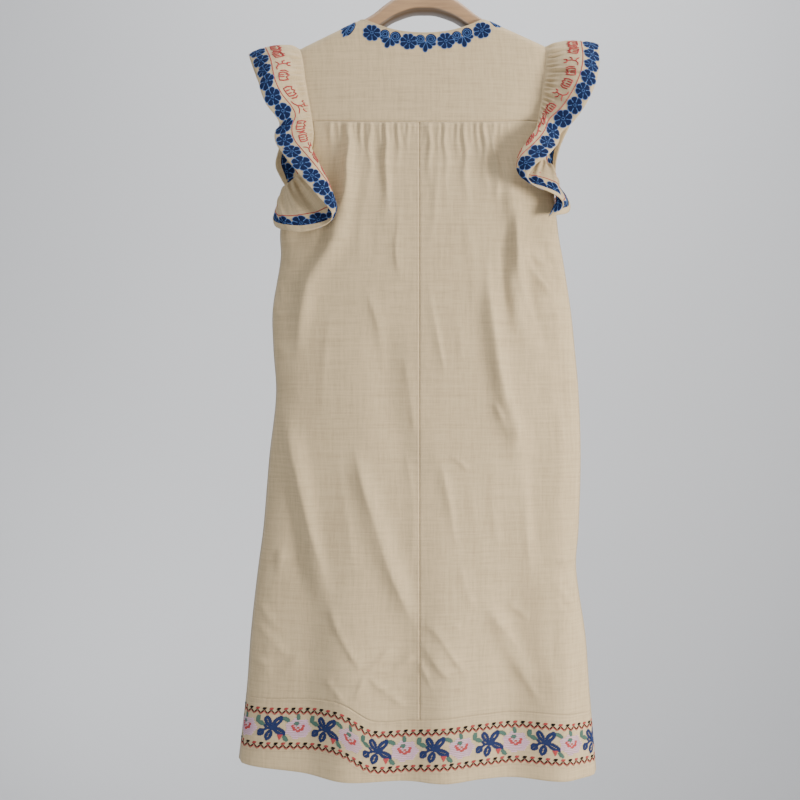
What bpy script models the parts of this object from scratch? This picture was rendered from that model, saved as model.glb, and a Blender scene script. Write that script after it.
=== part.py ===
"""Ruffle-sleeved linen shift dress hanging on a wooden hanger.

Metres, +Z up.  The origin is the inside top of the hanger's hook.  The back of the dress faces -Y
and its left in a view along +Y is -X.  Every cloth piece is a thin closed wall.
"""
import math
from collections import namedtuple

import bmesh
import bpy
import numpy as np

# Cloth
WALL = 0.0015
RUFFLE_WALL = 0.0012
SEAM_GAP = 0.0003
HALF_GAP = SEAM_GAP / 2
SIDE_ROUNDNESS = 2.4          # power of the curve that rounds the body at its side seams
SHOULDER_ROUND = 0.014        # height over which the cloth rounds over the hanger
CENTRE_X = -0.008             # centre back seam

# Body sections: height, left and right side seams, depth of the back and of the front
Section = namedtuple("Section", "z left right back front")
SECTIONS = (
    Section(-0.120, -0.205, 0.190, 0.018, 0.018),
    Section(-0.280, -0.208, 0.193, 0.030, 0.036),
    Section(-0.373, -0.212, 0.195, 0.036, 0.044),
    Section(-0.444, -0.216, 0.202, 0.038, 0.047),
    Section(-0.478, -0.215, 0.208, 0.039, 0.048),
    Section(-0.556, -0.227, 0.220, 0.041, 0.049),
    Section(-0.613, -0.226, 0.226, 0.042, 0.050),
    Section(-0.682, -0.222, 0.232, 0.043, 0.051),
    Section(-0.775, -0.232, 0.235, 0.045, 0.053),
    Section(-0.882, -0.241, 0.232, 0.047, 0.055),
    Section(-0.935, -0.248, 0.228, 0.048, 0.056),
    Section(-0.976, -0.253, 0.232, 0.049, 0.057),
    Section(-1.042, -0.260, 0.242, 0.051, 0.059),
    Section(-1.123, -0.266, 0.248, 0.054, 0.062),
    Section(-1.228, -0.278, 0.257, 0.057, 0.065),
    Section(-1.300, -0.286, 0.262, 0.058, 0.066),
)

# Hem across the back: place, height of the band's seam, height of the hem, wave in depth
Hem = namedtuple("Hem", "x band_top hem wave")
HEM = (
    Hem(-0.290, -1.130, -1.226, 0.000),
    Hem(-0.250, -1.129, -1.228, 0.004),
    Hem(-0.175, -1.126, -1.232, 0.006),
    Hem(-0.115, -1.152, -1.238, -0.009),
    Hem(-0.030, -1.153, -1.239, 0.003),
    Hem(0.027, -1.150, -1.241, -0.005),
    Hem(0.080, -1.148, -1.239, 0.006),
    Hem(0.132, -1.147, -1.241, 0.015),
    Hem(0.205, -1.147, -1.244, -0.009),
    Hem(0.240, -1.152, -1.245, 0.002),
    Hem(0.270, -1.158, -1.243, 0.000),
)
WAVE_START = -0.72            # the hem's waves fade in from here to the band

# Neck and shoulders
NECK_LEFT = -0.095
NECK_RIGHT = 0.0927
NECK_POINT_Z = -0.1228
BACK_NECK_Z = -0.1475
BACK_NECK_POWER = 2.2
FRONT_NECK_Z = -0.235
FRONT_NECK_POWER = 1.8
YOKE_Z = -0.279
YOKE_DIP = 0.004              # the yoke seam sags this much between its ends and its middle

# Armholes: height and place of the edge on the back, from the shoulder tip to the underarm
ArmholeRow = namedtuple("ArmholeRow", "z x")
ARMHOLE_LEFT = (
    ArmholeRow(-0.166, -0.186), ArmholeRow(-0.182, -0.181), ArmholeRow(-0.222, -0.175),
    ArmholeRow(-0.251, -0.170), ArmholeRow(-0.274, -0.166), ArmholeRow(-0.301, -0.163),
    ArmholeRow(-0.325, -0.167), ArmholeRow(-0.345, -0.177), ArmholeRow(-0.360, -0.190),
    ArmholeRow(-0.369, -0.202), ArmholeRow(-0.373, -0.212),
)
ARMHOLE_RIGHT = (
    ArmholeRow(-0.1615, 0.1815), ArmholeRow(-0.181, 0.181), ArmholeRow(-0.218, 0.178),
    ArmholeRow(-0.248, 0.174), ArmholeRow(-0.271, 0.169), ArmholeRow(-0.290, 0.166),
    ArmholeRow(-0.310, 0.167), ArmholeRow(-0.328, 0.173), ArmholeRow(-0.343, 0.182),
    ArmholeRow(-0.351, 0.188), ArmholeRow(-0.355, 0.1936),
)
FRONT_SCOOP = 0.010           # the front armhole is cut this much further in

# Gathers under the yoke: place at the seam, height, length
Gather = namedtuple("Gather", "x height length")
GATHERS = (
    Gather(-0.120, 0.0030, 0.070), Gather(-0.1085, 0.0036, 0.190), Gather(-0.096, 0.0022, 0.060),
    Gather(-0.084, 0.0030, 0.130), Gather(-0.072, 0.0022, 0.050), Gather(-0.060, 0.0032, 0.200),
    Gather(-0.047, 0.0020, 0.070), Gather(-0.034, 0.0026, 0.110), Gather(-0.021, 0.0018, 0.060),
    Gather(0.006, 0.0026, 0.120), Gather(0.018, 0.0018, 0.060), Gather(0.030, 0.0026, 0.150),
    Gather(0.043, 0.0020, 0.080), Gather(0.056, 0.0030, 0.180), Gather(0.069, 0.0022, 0.060),
    Gather(0.082, 0.0030, 0.120), Gather(0.095, 0.0024, 0.160), Gather(0.108, 0.0030, 0.080),
)
GATHER_HALF_WIDTH = 0.0042

# Largest folds of the back: a path of (x, z) places, height and half width
Fold = namedtuple("Fold", "height half_width path")
BACK_FOLDS = (
    Fold(0.0080, 0.014, ((-0.113, -0.287), (-0.113, -0.360), (-0.122, -0.401), (-0.130, -0.452),
                         (-0.172, -0.517), (-0.186, -0.582), (-0.190, -0.626))),
    Fold(0.0075, 0.015, ((-0.214, -0.682), (-0.205, -0.720), (-0.187, -0.792), (-0.178, -0.843),
                         (-0.163, -0.923), (-0.137, -1.010))),
    Fold(0.0055, 0.016, ((-0.108, -0.749), (-0.072, -0.880), (-0.012, -1.039))),
    Fold(0.0080, 0.013, ((0.120, -0.330), (0.132, -0.438), (0.135, -0.482), (0.128, -0.517),
                         (0.135, -0.575), (0.152, -0.618))),
    Fold(0.0070, 0.014, ((0.093, -0.500), (0.099, -0.582), (0.106, -0.627), (0.115, -0.682),
                         (0.131, -0.734), (0.138, -0.800))),
    Fold(0.0050, 0.012, ((0.145, -0.452), (0.178, -0.500), (0.203, -0.553))),
    Fold(0.0050, 0.014, ((0.094, -0.990), (0.128, -1.060), (0.160, -1.112))),
    Fold(-0.0055, 0.020, ((-0.172, -0.350), (-0.178, -0.420), (-0.200, -0.480))),
    Fold(-0.0050, 0.022, ((0.165, -0.700), (0.170, -0.850), (0.182, -0.980))),
    Fold(-0.0045, 0.024, ((-0.060, -0.560), (-0.052, -0.700), (-0.020, -0.820))),
)
FRONT_FOLDS = (
    Fold(0.0070, 0.018, ((-0.105, -0.300), (-0.112, -0.450), (-0.150, -0.620), (-0.160, -0.760))),
    Fold(0.0075, 0.020, ((0.090, -0.290), (0.100, -0.430), (0.128, -0.600), (0.134, -0.720))),
    Fold(0.0060, 0.022, ((0.010, -0.420), (0.000, -0.620), (-0.020, -0.850))),
    Fold(0.0060, 0.022, ((0.120, -0.780), (0.100, -0.920), (0.075, -1.080))),
    Fold(0.0060, 0.022, ((-0.190, -0.800), (-0.160, -0.930), (-0.120, -1.080))),
    Fold(-0.0050, 0.026, ((-0.050, -0.500), (-0.070, -0.700), (-0.080, -0.900))),
)

# Panel grids: fractions from the centre back seam out to the edge, and heights below the yoke
SIDE_FRACTIONS = (0.80, 0.88, 0.94, 0.975, 1.0)
FRONT_NECK_SHARE = 0.50       # of the way out from the centre to the armhole
FRONT_FRACTIONS = (0.0, 0.20, 0.36, 0.45, 0.485, 0.495, 0.50, 0.64, 0.78, 0.88, 0.95, 1.0)
NECK_STEPS = (0.002, 0.005, 0.010, 0.019, 0.032, 0.048, 0.068)   # yoke columns in from a neck point
SPREAD_POWER = 4              # how much of the widening below the armholes the inner columns take
UPPER_ROWS = (0.0, 0.10, 0.22, 0.40, 0.60, 0.78, 0.91, 1.0)
LOWER_ROWS = (0.020, 0.055, 0.095, 0.145, 0.20, 0.27, 0.36, 0.46, 0.56, 0.66, 0.76, 0.86, 0.93, 1.0)
YOKE_ROWS = (0.0, 0.006, 0.025, 0.06, 0.11, 0.22, 0.40, 0.60, 0.80, 1.0)
FRONT_TOP_ROWS = (0.0, 0.004, 0.015, 0.036, 0.07, 0.16, 0.30, 0.45, 0.60, 0.75, 0.90, 1.0)
BAND_ROWS = (0.0, 0.5, 1.0)

# Sleeve ruffles: share of the way round the armhole from the shoulder tip, the outer edge's
# place, and how far the middle of the strip bows away from the straight line to that edge
Ruffle = namedtuple("Ruffle", "turn x y z bow_x bow_y bow_z")
RUFFLE_LEFT = (
    Ruffle(0.000, -0.263, 0.000, -0.172, 0.000, 0.000, 0.009),
    Ruffle(0.050, -0.247, -0.030, -0.210, 0.000, -0.012, 0.010),
    Ruffle(0.100, -0.238, -0.047, -0.242, 0.000, -0.012, 0.010),
    Ruffle(0.150, -0.229, -0.047, -0.263, 0.000, -0.012, 0.006),
    Ruffle(0.190, -0.216, -0.040, -0.279, 0.002, -0.012, 0.004),
    Ruffle(0.225, -0.212, -0.036, -0.289, 0.004, -0.010, 0.004),
    Ruffle(0.260, -0.218, -0.042, -0.302, 0.014, -0.010, 0.004),
    Ruffle(0.300, -0.214, -0.053, -0.322, 0.024, -0.010, 0.004),
    Ruffle(0.335, -0.197, -0.063, -0.347, 0.032, -0.012, 0.004),
    Ruffle(0.365, -0.175, -0.069, -0.374, 0.038, -0.010, 0.000),
    Ruffle(0.390, -0.153, -0.071, -0.400, 0.041, -0.008, -0.006),
    Ruffle(0.415, -0.133, -0.066, -0.424, 0.034, -0.004, -0.014),
    Ruffle(0.440, -0.141, -0.055, -0.438, 0.022, -0.004, -0.012),
    Ruffle(0.470, -0.174, -0.048, -0.447, 0.004, -0.008, -0.006),
    Ruffle(0.505, -0.203, -0.038, -0.443, -0.010, -0.012, 0.000),
    Ruffle(0.535, -0.222, -0.012, -0.430, -0.014, -0.004, 0.002),
    Ruffle(0.562, -0.222, 0.018, -0.404, -0.012, 0.006, 0.002),
    Ruffle(0.590, -0.215, 0.046, -0.376, -0.010, 0.010, 0.000),
    Ruffle(0.620, -0.214, 0.064, -0.360, -0.008, 0.012, 0.000),
    Ruffle(0.660, -0.222, 0.062, -0.345, -0.006, 0.014, 0.002),
    Ruffle(0.710, -0.230, 0.052, -0.325, -0.006, 0.014, 0.004),
    Ruffle(0.760, -0.224, 0.044, -0.302, -0.004, 0.012, 0.004),
    Ruffle(0.805, -0.217, 0.040, -0.282, -0.003, 0.012, 0.004),
    Ruffle(0.850, -0.221, 0.042, -0.262, -0.002, 0.012, 0.006),
    Ruffle(0.900, -0.240, 0.048, -0.230, 0.000, 0.012, 0.008),
    Ruffle(0.950, -0.256, 0.032, -0.196, 0.000, 0.010, 0.009),
)
RUFFLE_RIGHT = (
    Ruffle(0.000, 0.261, 0.000, -0.157, 0.000, 0.000, 0.006),
    Ruffle(0.050, 0.258, -0.024, -0.193, 0.000, -0.010, 0.010),
    Ruffle(0.100, 0.249, -0.042, -0.228, 0.000, -0.012, 0.010),
    Ruffle(0.150, 0.234, -0.048, -0.261, 0.000, -0.012, 0.006),
    Ruffle(0.200, 0.217, -0.042, -0.285, -0.004, -0.012, 0.004),
    Ruffle(0.240, 0.200, -0.036, -0.300, -0.012, -0.012, 0.002),
    Ruffle(0.275, 0.193, -0.048, -0.318, -0.022, -0.012, 0.000),
    Ruffle(0.310, 0.178, -0.064, -0.338, -0.034, -0.012, 0.000),
    Ruffle(0.345, 0.157, -0.071, -0.356, -0.042, -0.010, -0.004),
    Ruffle(0.375, 0.146, -0.068, -0.374, -0.038, -0.008, -0.008),
    Ruffle(0.400, 0.158, -0.061, -0.385, -0.026, -0.006, -0.008),
    Ruffle(0.425, 0.178, -0.057, -0.392, -0.012, -0.008, -0.006),
    Ruffle(0.445, 0.194, -0.052, -0.400, -0.004, -0.010, -0.002),
    Ruffle(0.465, 0.200, -0.047, -0.410, 0.000, -0.010, 0.000),
    Ruffle(0.485, 0.190, -0.043, -0.420, 0.000, -0.012, 0.000),
    Ruffle(0.505, 0.180, -0.040, -0.424, 0.010, -0.014, 0.000),
    Ruffle(0.525, 0.188, -0.034, -0.421, 0.020, -0.010, 0.000),
    Ruffle(0.555, 0.213, -0.010, -0.412, 0.016, -0.002, 0.002),
    Ruffle(0.600, 0.222, 0.024, -0.390, 0.008, 0.010, 0.004),
    Ruffle(0.650, 0.214, 0.054, -0.362, 0.006, 0.014, 0.004),
    Ruffle(0.710, 0.208, 0.060, -0.332, 0.006, 0.014, 0.004),
    Ruffle(0.780, 0.213, 0.050, -0.298, 0.004, 0.012, 0.004),
    Ruffle(0.850, 0.229, 0.044, -0.262, 0.002, 0.012, 0.006),
    Ruffle(0.900, 0.245, 0.046, -0.226, 0.000, 0.012, 0.008),
    Ruffle(0.950, 0.259, 0.030, -0.187, 0.000, 0.010, 0.008),
)
RUFFLE_GATHERS = 30
RUFFLE_COLUMNS = 4 * RUFFLE_GATHERS
RUFFLE_ROWS = (0.0, 0.10, 0.25, 0.45, 0.70, 1.0)
RUFFLE_GAP = 0.0007           # between the strip's edge and the panel it is sewn to
PROBE = 0.001                 # step for the slope of the body's surface
STAND_OFF = 0.012             # how far the strip's first quarter stands off the body
BOW_REACH = 1.33
GATHER_DEPTH = 0.0013         # of the small gathers along the armhole seam
GATHER_REACH = 0.22           # share of the ruffle's width where they are deepest

# Wooden hanger: place, top and bottom of the wood, half its thickness
HangerRow = namedtuple("HangerRow", "x top bottom half")
HANGER_CLEARANCE = 0.0030     # from the cloth's outer shoulder line down to the wood
HANGER_CROWN = (
    HangerRow(0.000, -0.0730, -0.1125, 0.0130),
    HangerRow(0.015, -0.0750, -0.1130, 0.0130),
    HangerRow(0.030, -0.0825, -0.1170, 0.0130),
    HangerRow(0.047, -0.0925, -0.1240, 0.0128),
    HangerRow(0.062, -0.1035, -0.1335, 0.0126),
    HangerRow(0.075, -0.1140, -0.1415, 0.0122),
)
HANGER_ARM = (0.094, 0.112, 0.130, 0.148, 0.162)
ARM_HEIGHT_IN = 0.021
ARM_HEIGHT_OUT = 0.014
ARM_HALF_IN = 0.0115
ARM_HALF_OUT = 0.0080
HANGER_SIDES = 14
HANGER_SQUARENESS = 2.2

# Steel hook
WIRE_RADIUS = 0.0021
HOOK_INNER_RADIUS = 0.020
HOOK_STEM_BOTTOM = -0.085
HOOK_STEM_TOP = -0.060
HOOK_START_DEGREES = -62
HOOK_END_DEGREES = 205
HOOK_ARC_POINTS = 22
STEM_CLEARANCE = 0.0003

MATERIALS = {
    "linen_body": ((0.76, 0.68, 0.55, 1.0), 0.85, 0.0),
    "linen_ruffle": ((0.78, 0.70, 0.57, 1.0), 0.85, 0.0),
    "linen_band": ((0.74, 0.66, 0.54, 1.0), 0.85, 0.0),
    "beech_wood": ((0.56, 0.38, 0.22, 1.0), 0.45, 0.0),
    "steel_wire": ((0.62, 0.62, 0.62, 1.0), 0.28, 1.0),
}


def clear_scene():
    for old in list(bpy.data.objects):
        bpy.data.objects.remove(old, do_unlink=True)


def material(name):
    """The named Principled material, made once."""
    made = bpy.data.materials.get(name)
    if made is None:
        colour, roughness, metallic = MATERIALS[name]
        made = bpy.data.materials.new(name)
        made.use_nodes = True
        shader = made.node_tree.nodes["Principled BSDF"]
        shader.inputs["Base Color"].default_value = colour
        shader.inputs["Roughness"].default_value = roughness
        shader.inputs["Metallic"].default_value = metallic
    return made


def smooth(keys, values, at, period=None):
    """Value at one key of a smooth curve through the table's rows."""
    if period is not None:
        keys = (keys[-2] - period, keys[-1] - period) + tuple(keys) + (keys[0] + period, keys[1] + period)
        values = (values[-2], values[-1]) + tuple(values) + (values[0], values[1])
    if keys[0] > keys[-1]:
        keys, values = keys[::-1], values[::-1]
    at = min(max(at, keys[0]), keys[-1])
    i = min(max(int(np.searchsorted(keys, at)) - 1, 0), len(keys) - 2)
    before, after = max(i - 1, 0), min(i + 2, len(keys) - 1)
    span = keys[i + 1] - keys[i]
    slope_in = (values[i + 1] - values[before]) / (keys[i + 1] - keys[before])
    slope_out = (values[after] - values[i]) / (keys[after] - keys[i])
    t = (at - keys[i]) / span
    return ((2 * t**3 - 3 * t**2 + 1) * values[i] + (t**3 - 2 * t**2 + t) * span * slope_in
            + (3 * t**2 - 2 * t**3) * values[i + 1] + (t**3 - t**2) * span * slope_out)


def column(rows, name):
    return tuple(getattr(row, name) for row in rows)


def section(name, z):
    return smooth(column(SECTIONS, "z"), column(SECTIONS, name), z)


def hem(name, x):
    return smooth(column(HEM, "x"), column(HEM, name), x)


def fade(value):
    """Smooth step from 0 to 1."""
    value = min(max(value, 0.0), 1.0)
    return value * value * (3 - 2 * value)


def shoulder_z(x):
    """Height of the shoulder line, carried on above the neck."""
    if x < CENTRE_X:
        slope = (ARMHOLE_LEFT[0].z - NECK_POINT_Z) / (ARMHOLE_LEFT[0].x - NECK_LEFT)
        return NECK_POINT_Z + (x - NECK_LEFT) * slope
    slope = (ARMHOLE_RIGHT[0].z - NECK_POINT_Z) / (ARMHOLE_RIGHT[0].x - NECK_RIGHT)
    return NECK_POINT_Z + (x - NECK_RIGHT) * slope


def neck_z(x, lowest, power):
    """Height of a neckline whose lowest point is given."""
    reach = abs(x / (NECK_LEFT if x < 0 else NECK_RIGHT))
    return lowest + (NECK_POINT_Z - lowest) * reach**power


def top_z(x, lowest, power):
    """Top edge of a panel: the neckline between the neck points, else the shoulder line."""
    return neck_z(x, lowest, power) if NECK_LEFT < x < NECK_RIGHT else shoulder_z(x)


def yoke_z(x):
    return YOKE_Z - YOKE_DIP * (1 - min(abs(x - CENTRE_X) / abs(ARMHOLE_LEFT[5].x), 1) ** 2)


def armhole_x(z, left, front):
    """Edge of the armhole at a height, from the shoulder tip to the underarm."""
    rows = ARMHOLE_LEFT if left else ARMHOLE_RIGHT
    x = float(np.interp(-z, [-row.z for row in rows], column(rows, "x")))
    if front:
        share = min(max((rows[0].z - z) / (rows[0].z - rows[-1].z), 0.0), 1.0)
        inward = FRONT_SCOOP * math.sin(math.pi * share) ** 0.8
        x += inward if left else -inward
    return x


def edge_x(z, left, front):
    """Outer edge of the body: the armhole above the underarm, the side seam below."""
    rows = ARMHOLE_LEFT if left else ARMHOLE_RIGHT
    if z >= rows[-1].z:
        return armhole_x(z, left, front)
    side = section("left" if left else "right", z)
    blend = fade((rows[-1].z - z) / 0.03)
    return rows[-1].x + (side - rows[-1].x) * blend


def side_reach(x, z):
    """0 at the centre back seam and 1 at the side seam."""
    left = x < CENTRE_X
    rows = ARMHOLE_LEFT if left else ARMHOLE_RIGHT
    side = section("left" if left else "right", z) if z > rows[-1].z else edge_x(z, left, False)
    return min(abs((x - CENTRE_X) / (side - CENTRE_X)), 1.0)


def fold_height(x, z, folds):
    """Height that the large folds add at a place."""
    total = 0.0
    for fold in folds:
        lengths = [math.dist(a, b) for a, b in zip(fold.path, fold.path[1:])]
        whole, done, nearest, along = sum(lengths), 0.0, 1.0, 0.0
        for start, end, length in zip(fold.path, fold.path[1:], lengths):
            share = ((x - start[0]) * (end[0] - start[0]) + (z - start[1]) * (end[1] - start[1])) / length**2
            share = min(max(share, 0.0), 1.0)
            gap = math.dist((x, z), (start[0] + share * (end[0] - start[0]),
                                     start[1] + share * (end[1] - start[1])))
            if gap < nearest:
                nearest, along = gap, (done + share * length) / whole
            done += length
        ends = fade(along / 0.25) * fade((1 - along) / 0.25)
        total += fold.height * ends * math.exp(-(nearest / fold.half_width) ** 2)
    return total


def gather_height(x, z):
    """Height that the gathers under the yoke add at a place."""
    below = yoke_z(x) - z
    total = 0.0
    for gather in GATHERS:
        drift = (gather.x - CENTRE_X) * below * 0.25
        crest = math.exp(-((x - gather.x - drift) / GATHER_HALF_WIDTH) ** 2)
        total += gather.height * crest * fade(below / 0.016) * (1 - fade(below / gather.length))
    return total


def body_y(x, z, front):
    """Depth of the body's outer surface at a place."""
    reach = side_reach(x, z)
    round_in = (1 - reach**SIDE_ROUNDNESS) ** (1 / SIDE_ROUNDNESS)
    over = min(max((shoulder_z(x) - z) / SHOULDER_ROUND, 0.0), 1.0)
    shape = round_in * math.sqrt(1 - (1 - over) ** 2)
    flat = 1 - reach**6
    wave = hem("wave", x) * fade((WAVE_START - z) / (WAVE_START - HEM[0].band_top)) * flat
    if front:
        folds = fold_height(x, z, FRONT_FOLDS) * flat
        return section("front", z) * shape + folds - 0.7 * wave + HALF_GAP
    folds = fold_height(x, z, BACK_FOLDS) * flat
    if z < yoke_z(x):
        folds += gather_height(x, z) * flat
    return -section("back", z) * shape - folds + wave - HALF_GAP


def grid_normals(points, wrap):
    """Unit normals of a grid of points, by its own neighbours."""
    down = np.gradient(points, axis=0)
    if wrap:
        along = (np.roll(points, -1, axis=1) - np.roll(points, 1, axis=1)) / 2
    else:
        along = np.gradient(points, axis=1)
    normals = np.cross(down, along)
    return normals / np.linalg.norm(normals, axis=2, keepdims=True)


def wall_object(name, outer, inner, material_name, wrap=False):
    """A closed wall between two grids of points."""
    rows, columns = outer.shape[:2]
    mesh = bmesh.new()
    sheets = [[[mesh.verts.new(tuple(grid[r, c])) for c in range(columns)] for r in range(rows)]
              for grid in (outer, inner)]
    steps = columns if wrap else columns - 1
    for face, back in ((sheets[0], False), (sheets[1], True)):
        for r in range(rows - 1):
            for c in range(steps):
                d = (c + 1) % columns
                corners = [face[r][c], face[r + 1][c], face[r + 1][d], face[r][d]]
                mesh.faces.new(corners[::-1] if back else corners)
    for r in (0, rows - 1):
        for c in range(steps):
            d = (c + 1) % columns
            mesh.faces.new([sheets[0][r][c], sheets[0][r][d], sheets[1][r][d], sheets[1][r][c]])
    if not wrap:
        for c in (0, columns - 1):
            for r in range(rows - 1):
                mesh.faces.new([sheets[0][r][c], sheets[0][r + 1][c], sheets[1][r + 1][c], sheets[1][r][c]])
    bmesh.ops.recalc_face_normals(mesh, faces=mesh.faces)
    return finish_object(name, mesh, material_name)


def finish_object(name, mesh, material_name):
    data = bpy.data.meshes.new(name)
    mesh.to_mesh(data)
    mesh.free()
    made = bpy.data.objects.new(name, data)
    bpy.context.scene.collection.objects.link(made)
    data.materials.append(material(material_name))
    data.shade_smooth()
    data.set_sharp_from_angle(angle=math.radians(50))
    return made


def panel(name, places, front, material_name):
    """A body panel over a grid of (x, z) places, its wall inside the body's outer surface."""
    outer = np.array([[(x, body_y(x, z, front), z) for x, z in row] for row in places])
    normals = grid_normals(outer, False)
    if (normals[..., 1].mean() > 0) != front:
        normals = -normals
    inner = outer - WALL * normals
    # Edges are cut square to their seams, so that pieces that meet there stay apart
    inner[0, :, 2] = outer[0, :, 2]
    inner[-1, :, 2] = outer[-1, :, 2]
    for r, c in zip(*np.nonzero(np.abs(outer[..., 1]) <= SEAM_GAP)):
        inner[r, c, 1] = outer[r, c, 1]
        if r == 0:
            inner[r, c, 2] = outer[r, c, 2] - WALL
    for c in (0, -1):
        if abs(outer[-1, c, 0] - CENTRE_X) < SEAM_GAP:
            inner[:, c, 0] = outer[:, c, 0]
    return wall_object(name, outer, inner, material_name)


def yoke_piece():
    """Yoke across the shoulders, neckline and shoulder seams down to the yoke seam."""
    tip_left, tip_right = ARMHOLE_LEFT[0].x, ARMHOLE_RIGHT[0].x
    arm = [0.0, 0.17, 0.34, 0.51, 0.68, 0.84]
    tops = [tip_left + (NECK_LEFT - tip_left) * share for share in arm]
    tops += [NECK_LEFT] + [NECK_LEFT + step for step in NECK_STEPS] + [0.0]
    tops += [NECK_RIGHT - step for step in reversed(NECK_STEPS)] + [NECK_RIGHT]
    tops += [tip_right + (NECK_RIGHT - tip_right) * share for share in reversed(arm)]
    places = []
    for share in YOKE_ROWS:
        row = []
        for x_top in tops:
            across = (x_top - tip_left) / (tip_right - tip_left)
            start = top_z(x_top, BACK_NECK_Z, BACK_NECK_POWER)
            z = start + (yoke_z(x_top) + HALF_GAP - start) * share
            left, right = armhole_x(z, True, False), armhole_x(z, False, False)
            row.append((left + (right - left) * across, z))
        places.append(row)
    return panel("back_yoke", places, False, "linen_body")


def panel_heights(start, underarm, end):
    """Row heights from the top of a column to the underarm and on to the band."""
    upper = [start + (underarm - start) * share for share in UPPER_ROWS]
    return upper + [underarm + (end - underarm) * share for share in LOWER_ROWS]


def back_panel(name, left):
    """One long back panel, centre back seam to side seam, gathered into the yoke."""
    underarm = (ARMHOLE_LEFT if left else ARMHOLE_RIGHT)[-1].z
    inner_x = CENTRE_X + (-HALF_GAP if left else HALF_GAP)
    top_edge = armhole_x(YOKE_Z, left, False)
    crests = sorted((abs(g.x - CENTRE_X) for g in GATHERS if (g.x < CENTRE_X) == left))
    reach = abs(top_edge - CENTRE_X)
    stops = [0.0]
    for here, following in zip(crests, crests[1:] + [2 * crests[-1] - crests[-2]]):
        stops += [here / reach, (here + following) / 2 / reach]
    stops += [share for share in SIDE_FRACTIONS if share > stops[-1] + 0.03]
    columns = []
    for share in stops:
        x_top = inner_x + (top_edge - inner_x) * share
        x_end = inner_x + (edge_x(HEM[0].band_top, left, False) - inner_x) * share
        heights = panel_heights(yoke_z(x_top) - HALF_GAP, underarm, hem("band_top", x_end) + HALF_GAP)
        columns.append([(x_top + (edge_x(z, left, False) - top_edge) * share**SPREAD_POWER, z)
                        for z in heights])
    places = [list(row) for row in zip(*columns)]
    panel(name, places, False, "linen_body")
    return places[-1]


def front_panel():
    """The front in one piece, with its scooped neckline."""
    columns = []
    shares = [-share for share in reversed(FRONT_FRACTIONS[1:])] + list(FRONT_FRACTIONS)
    for share in shares:
        left = share < 0
        rows = ARMHOLE_LEFT if left else ARMHOLE_RIGHT
        neck = NECK_LEFT if left else NECK_RIGHT
        across = abs(share)
        tip, underarm = rows[0].x, rows[-1].z
        if across < FRONT_NECK_SHARE:
            x_top = CENTRE_X + (neck - CENTRE_X) * across / FRONT_NECK_SHARE
            start = neck_z(x_top, FRONT_NECK_Z, FRONT_NECK_POWER)
        else:
            x_top = neck + (tip - neck) * (across - FRONT_NECK_SHARE) / (1 - FRONT_NECK_SHARE)
            start = shoulder_z(x_top)
        upper = [start + (underarm - start) * part for part in FRONT_TOP_ROWS]
        x_end = CENTRE_X + (edge_x(HEM[0].band_top, left, True) - CENTRE_X) * across
        end = hem("band_top", x_end) + HALF_GAP
        heights = upper + [underarm + (end - underarm) * part for part in LOWER_ROWS]
        columns.append([(x_top + (edge_x(z, left, True) - tip) * across**SPREAD_POWER, z) for z in heights])
    places = [list(row) for row in zip(*columns)]
    panel("front", places, True, "linen_body")
    return places[-1]


def hem_band(name, seam, front):
    """Border band hanging from the bottom edge of the body's panels, side seam to side seam."""
    places = [[] for part in BAND_ROWS]
    for x, z in seam:
        left = x < CENTRE_X
        top, bottom = z - SEAM_GAP, hem("hem", x)
        out = (x - CENTRE_X) / (edge_x(z, left, front) - CENTRE_X)
        for row, part in zip(places, BAND_ROWS):
            height = top + (bottom - top) * part
            row.append((CENTRE_X + (edge_x(height, left, front) - CENTRE_X) * out, height))
    return panel(name, places, front, "linen_band")


def seam_point(turn, left, clearance):
    """Place just off the armhole seam at a share of the way round it, and the way the strip leaves it."""
    rows = ARMHOLE_LEFT if left else ARMHOLE_RIGHT
    front = turn > 0.5
    share = 2 * (1 - turn) if front else 2 * turn
    steps = [math.dist(a, b) for a, b in zip(rows, rows[1:])]
    reached = np.concatenate(([0.0], np.cumsum(steps))) / sum(steps)
    z = float(np.interp(share, reached, column(rows, "z")))
    x = armhole_x(z, left, front)
    y = body_y(x, z, front)
    slope_x = (body_y(x + PROBE, z, front) - body_y(x - PROBE, z, front)) / (2 * PROBE)
    slope_z = (body_y(x, z + PROBE, front) - body_y(x, z - PROBE, front)) / (2 * PROBE)
    normal = np.array((slope_x, -1.0, slope_z)) * (-1 if front else 1)
    normal /= np.linalg.norm(normal)
    outward = np.array((-1.0 if left else 1.0, 0.0, 0.0))
    lift = normal + 2 * fade((share - 0.85) / 0.12) * outward
    return np.array((x, y, z)) + clearance * normal, lift / np.linalg.norm(lift)


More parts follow.
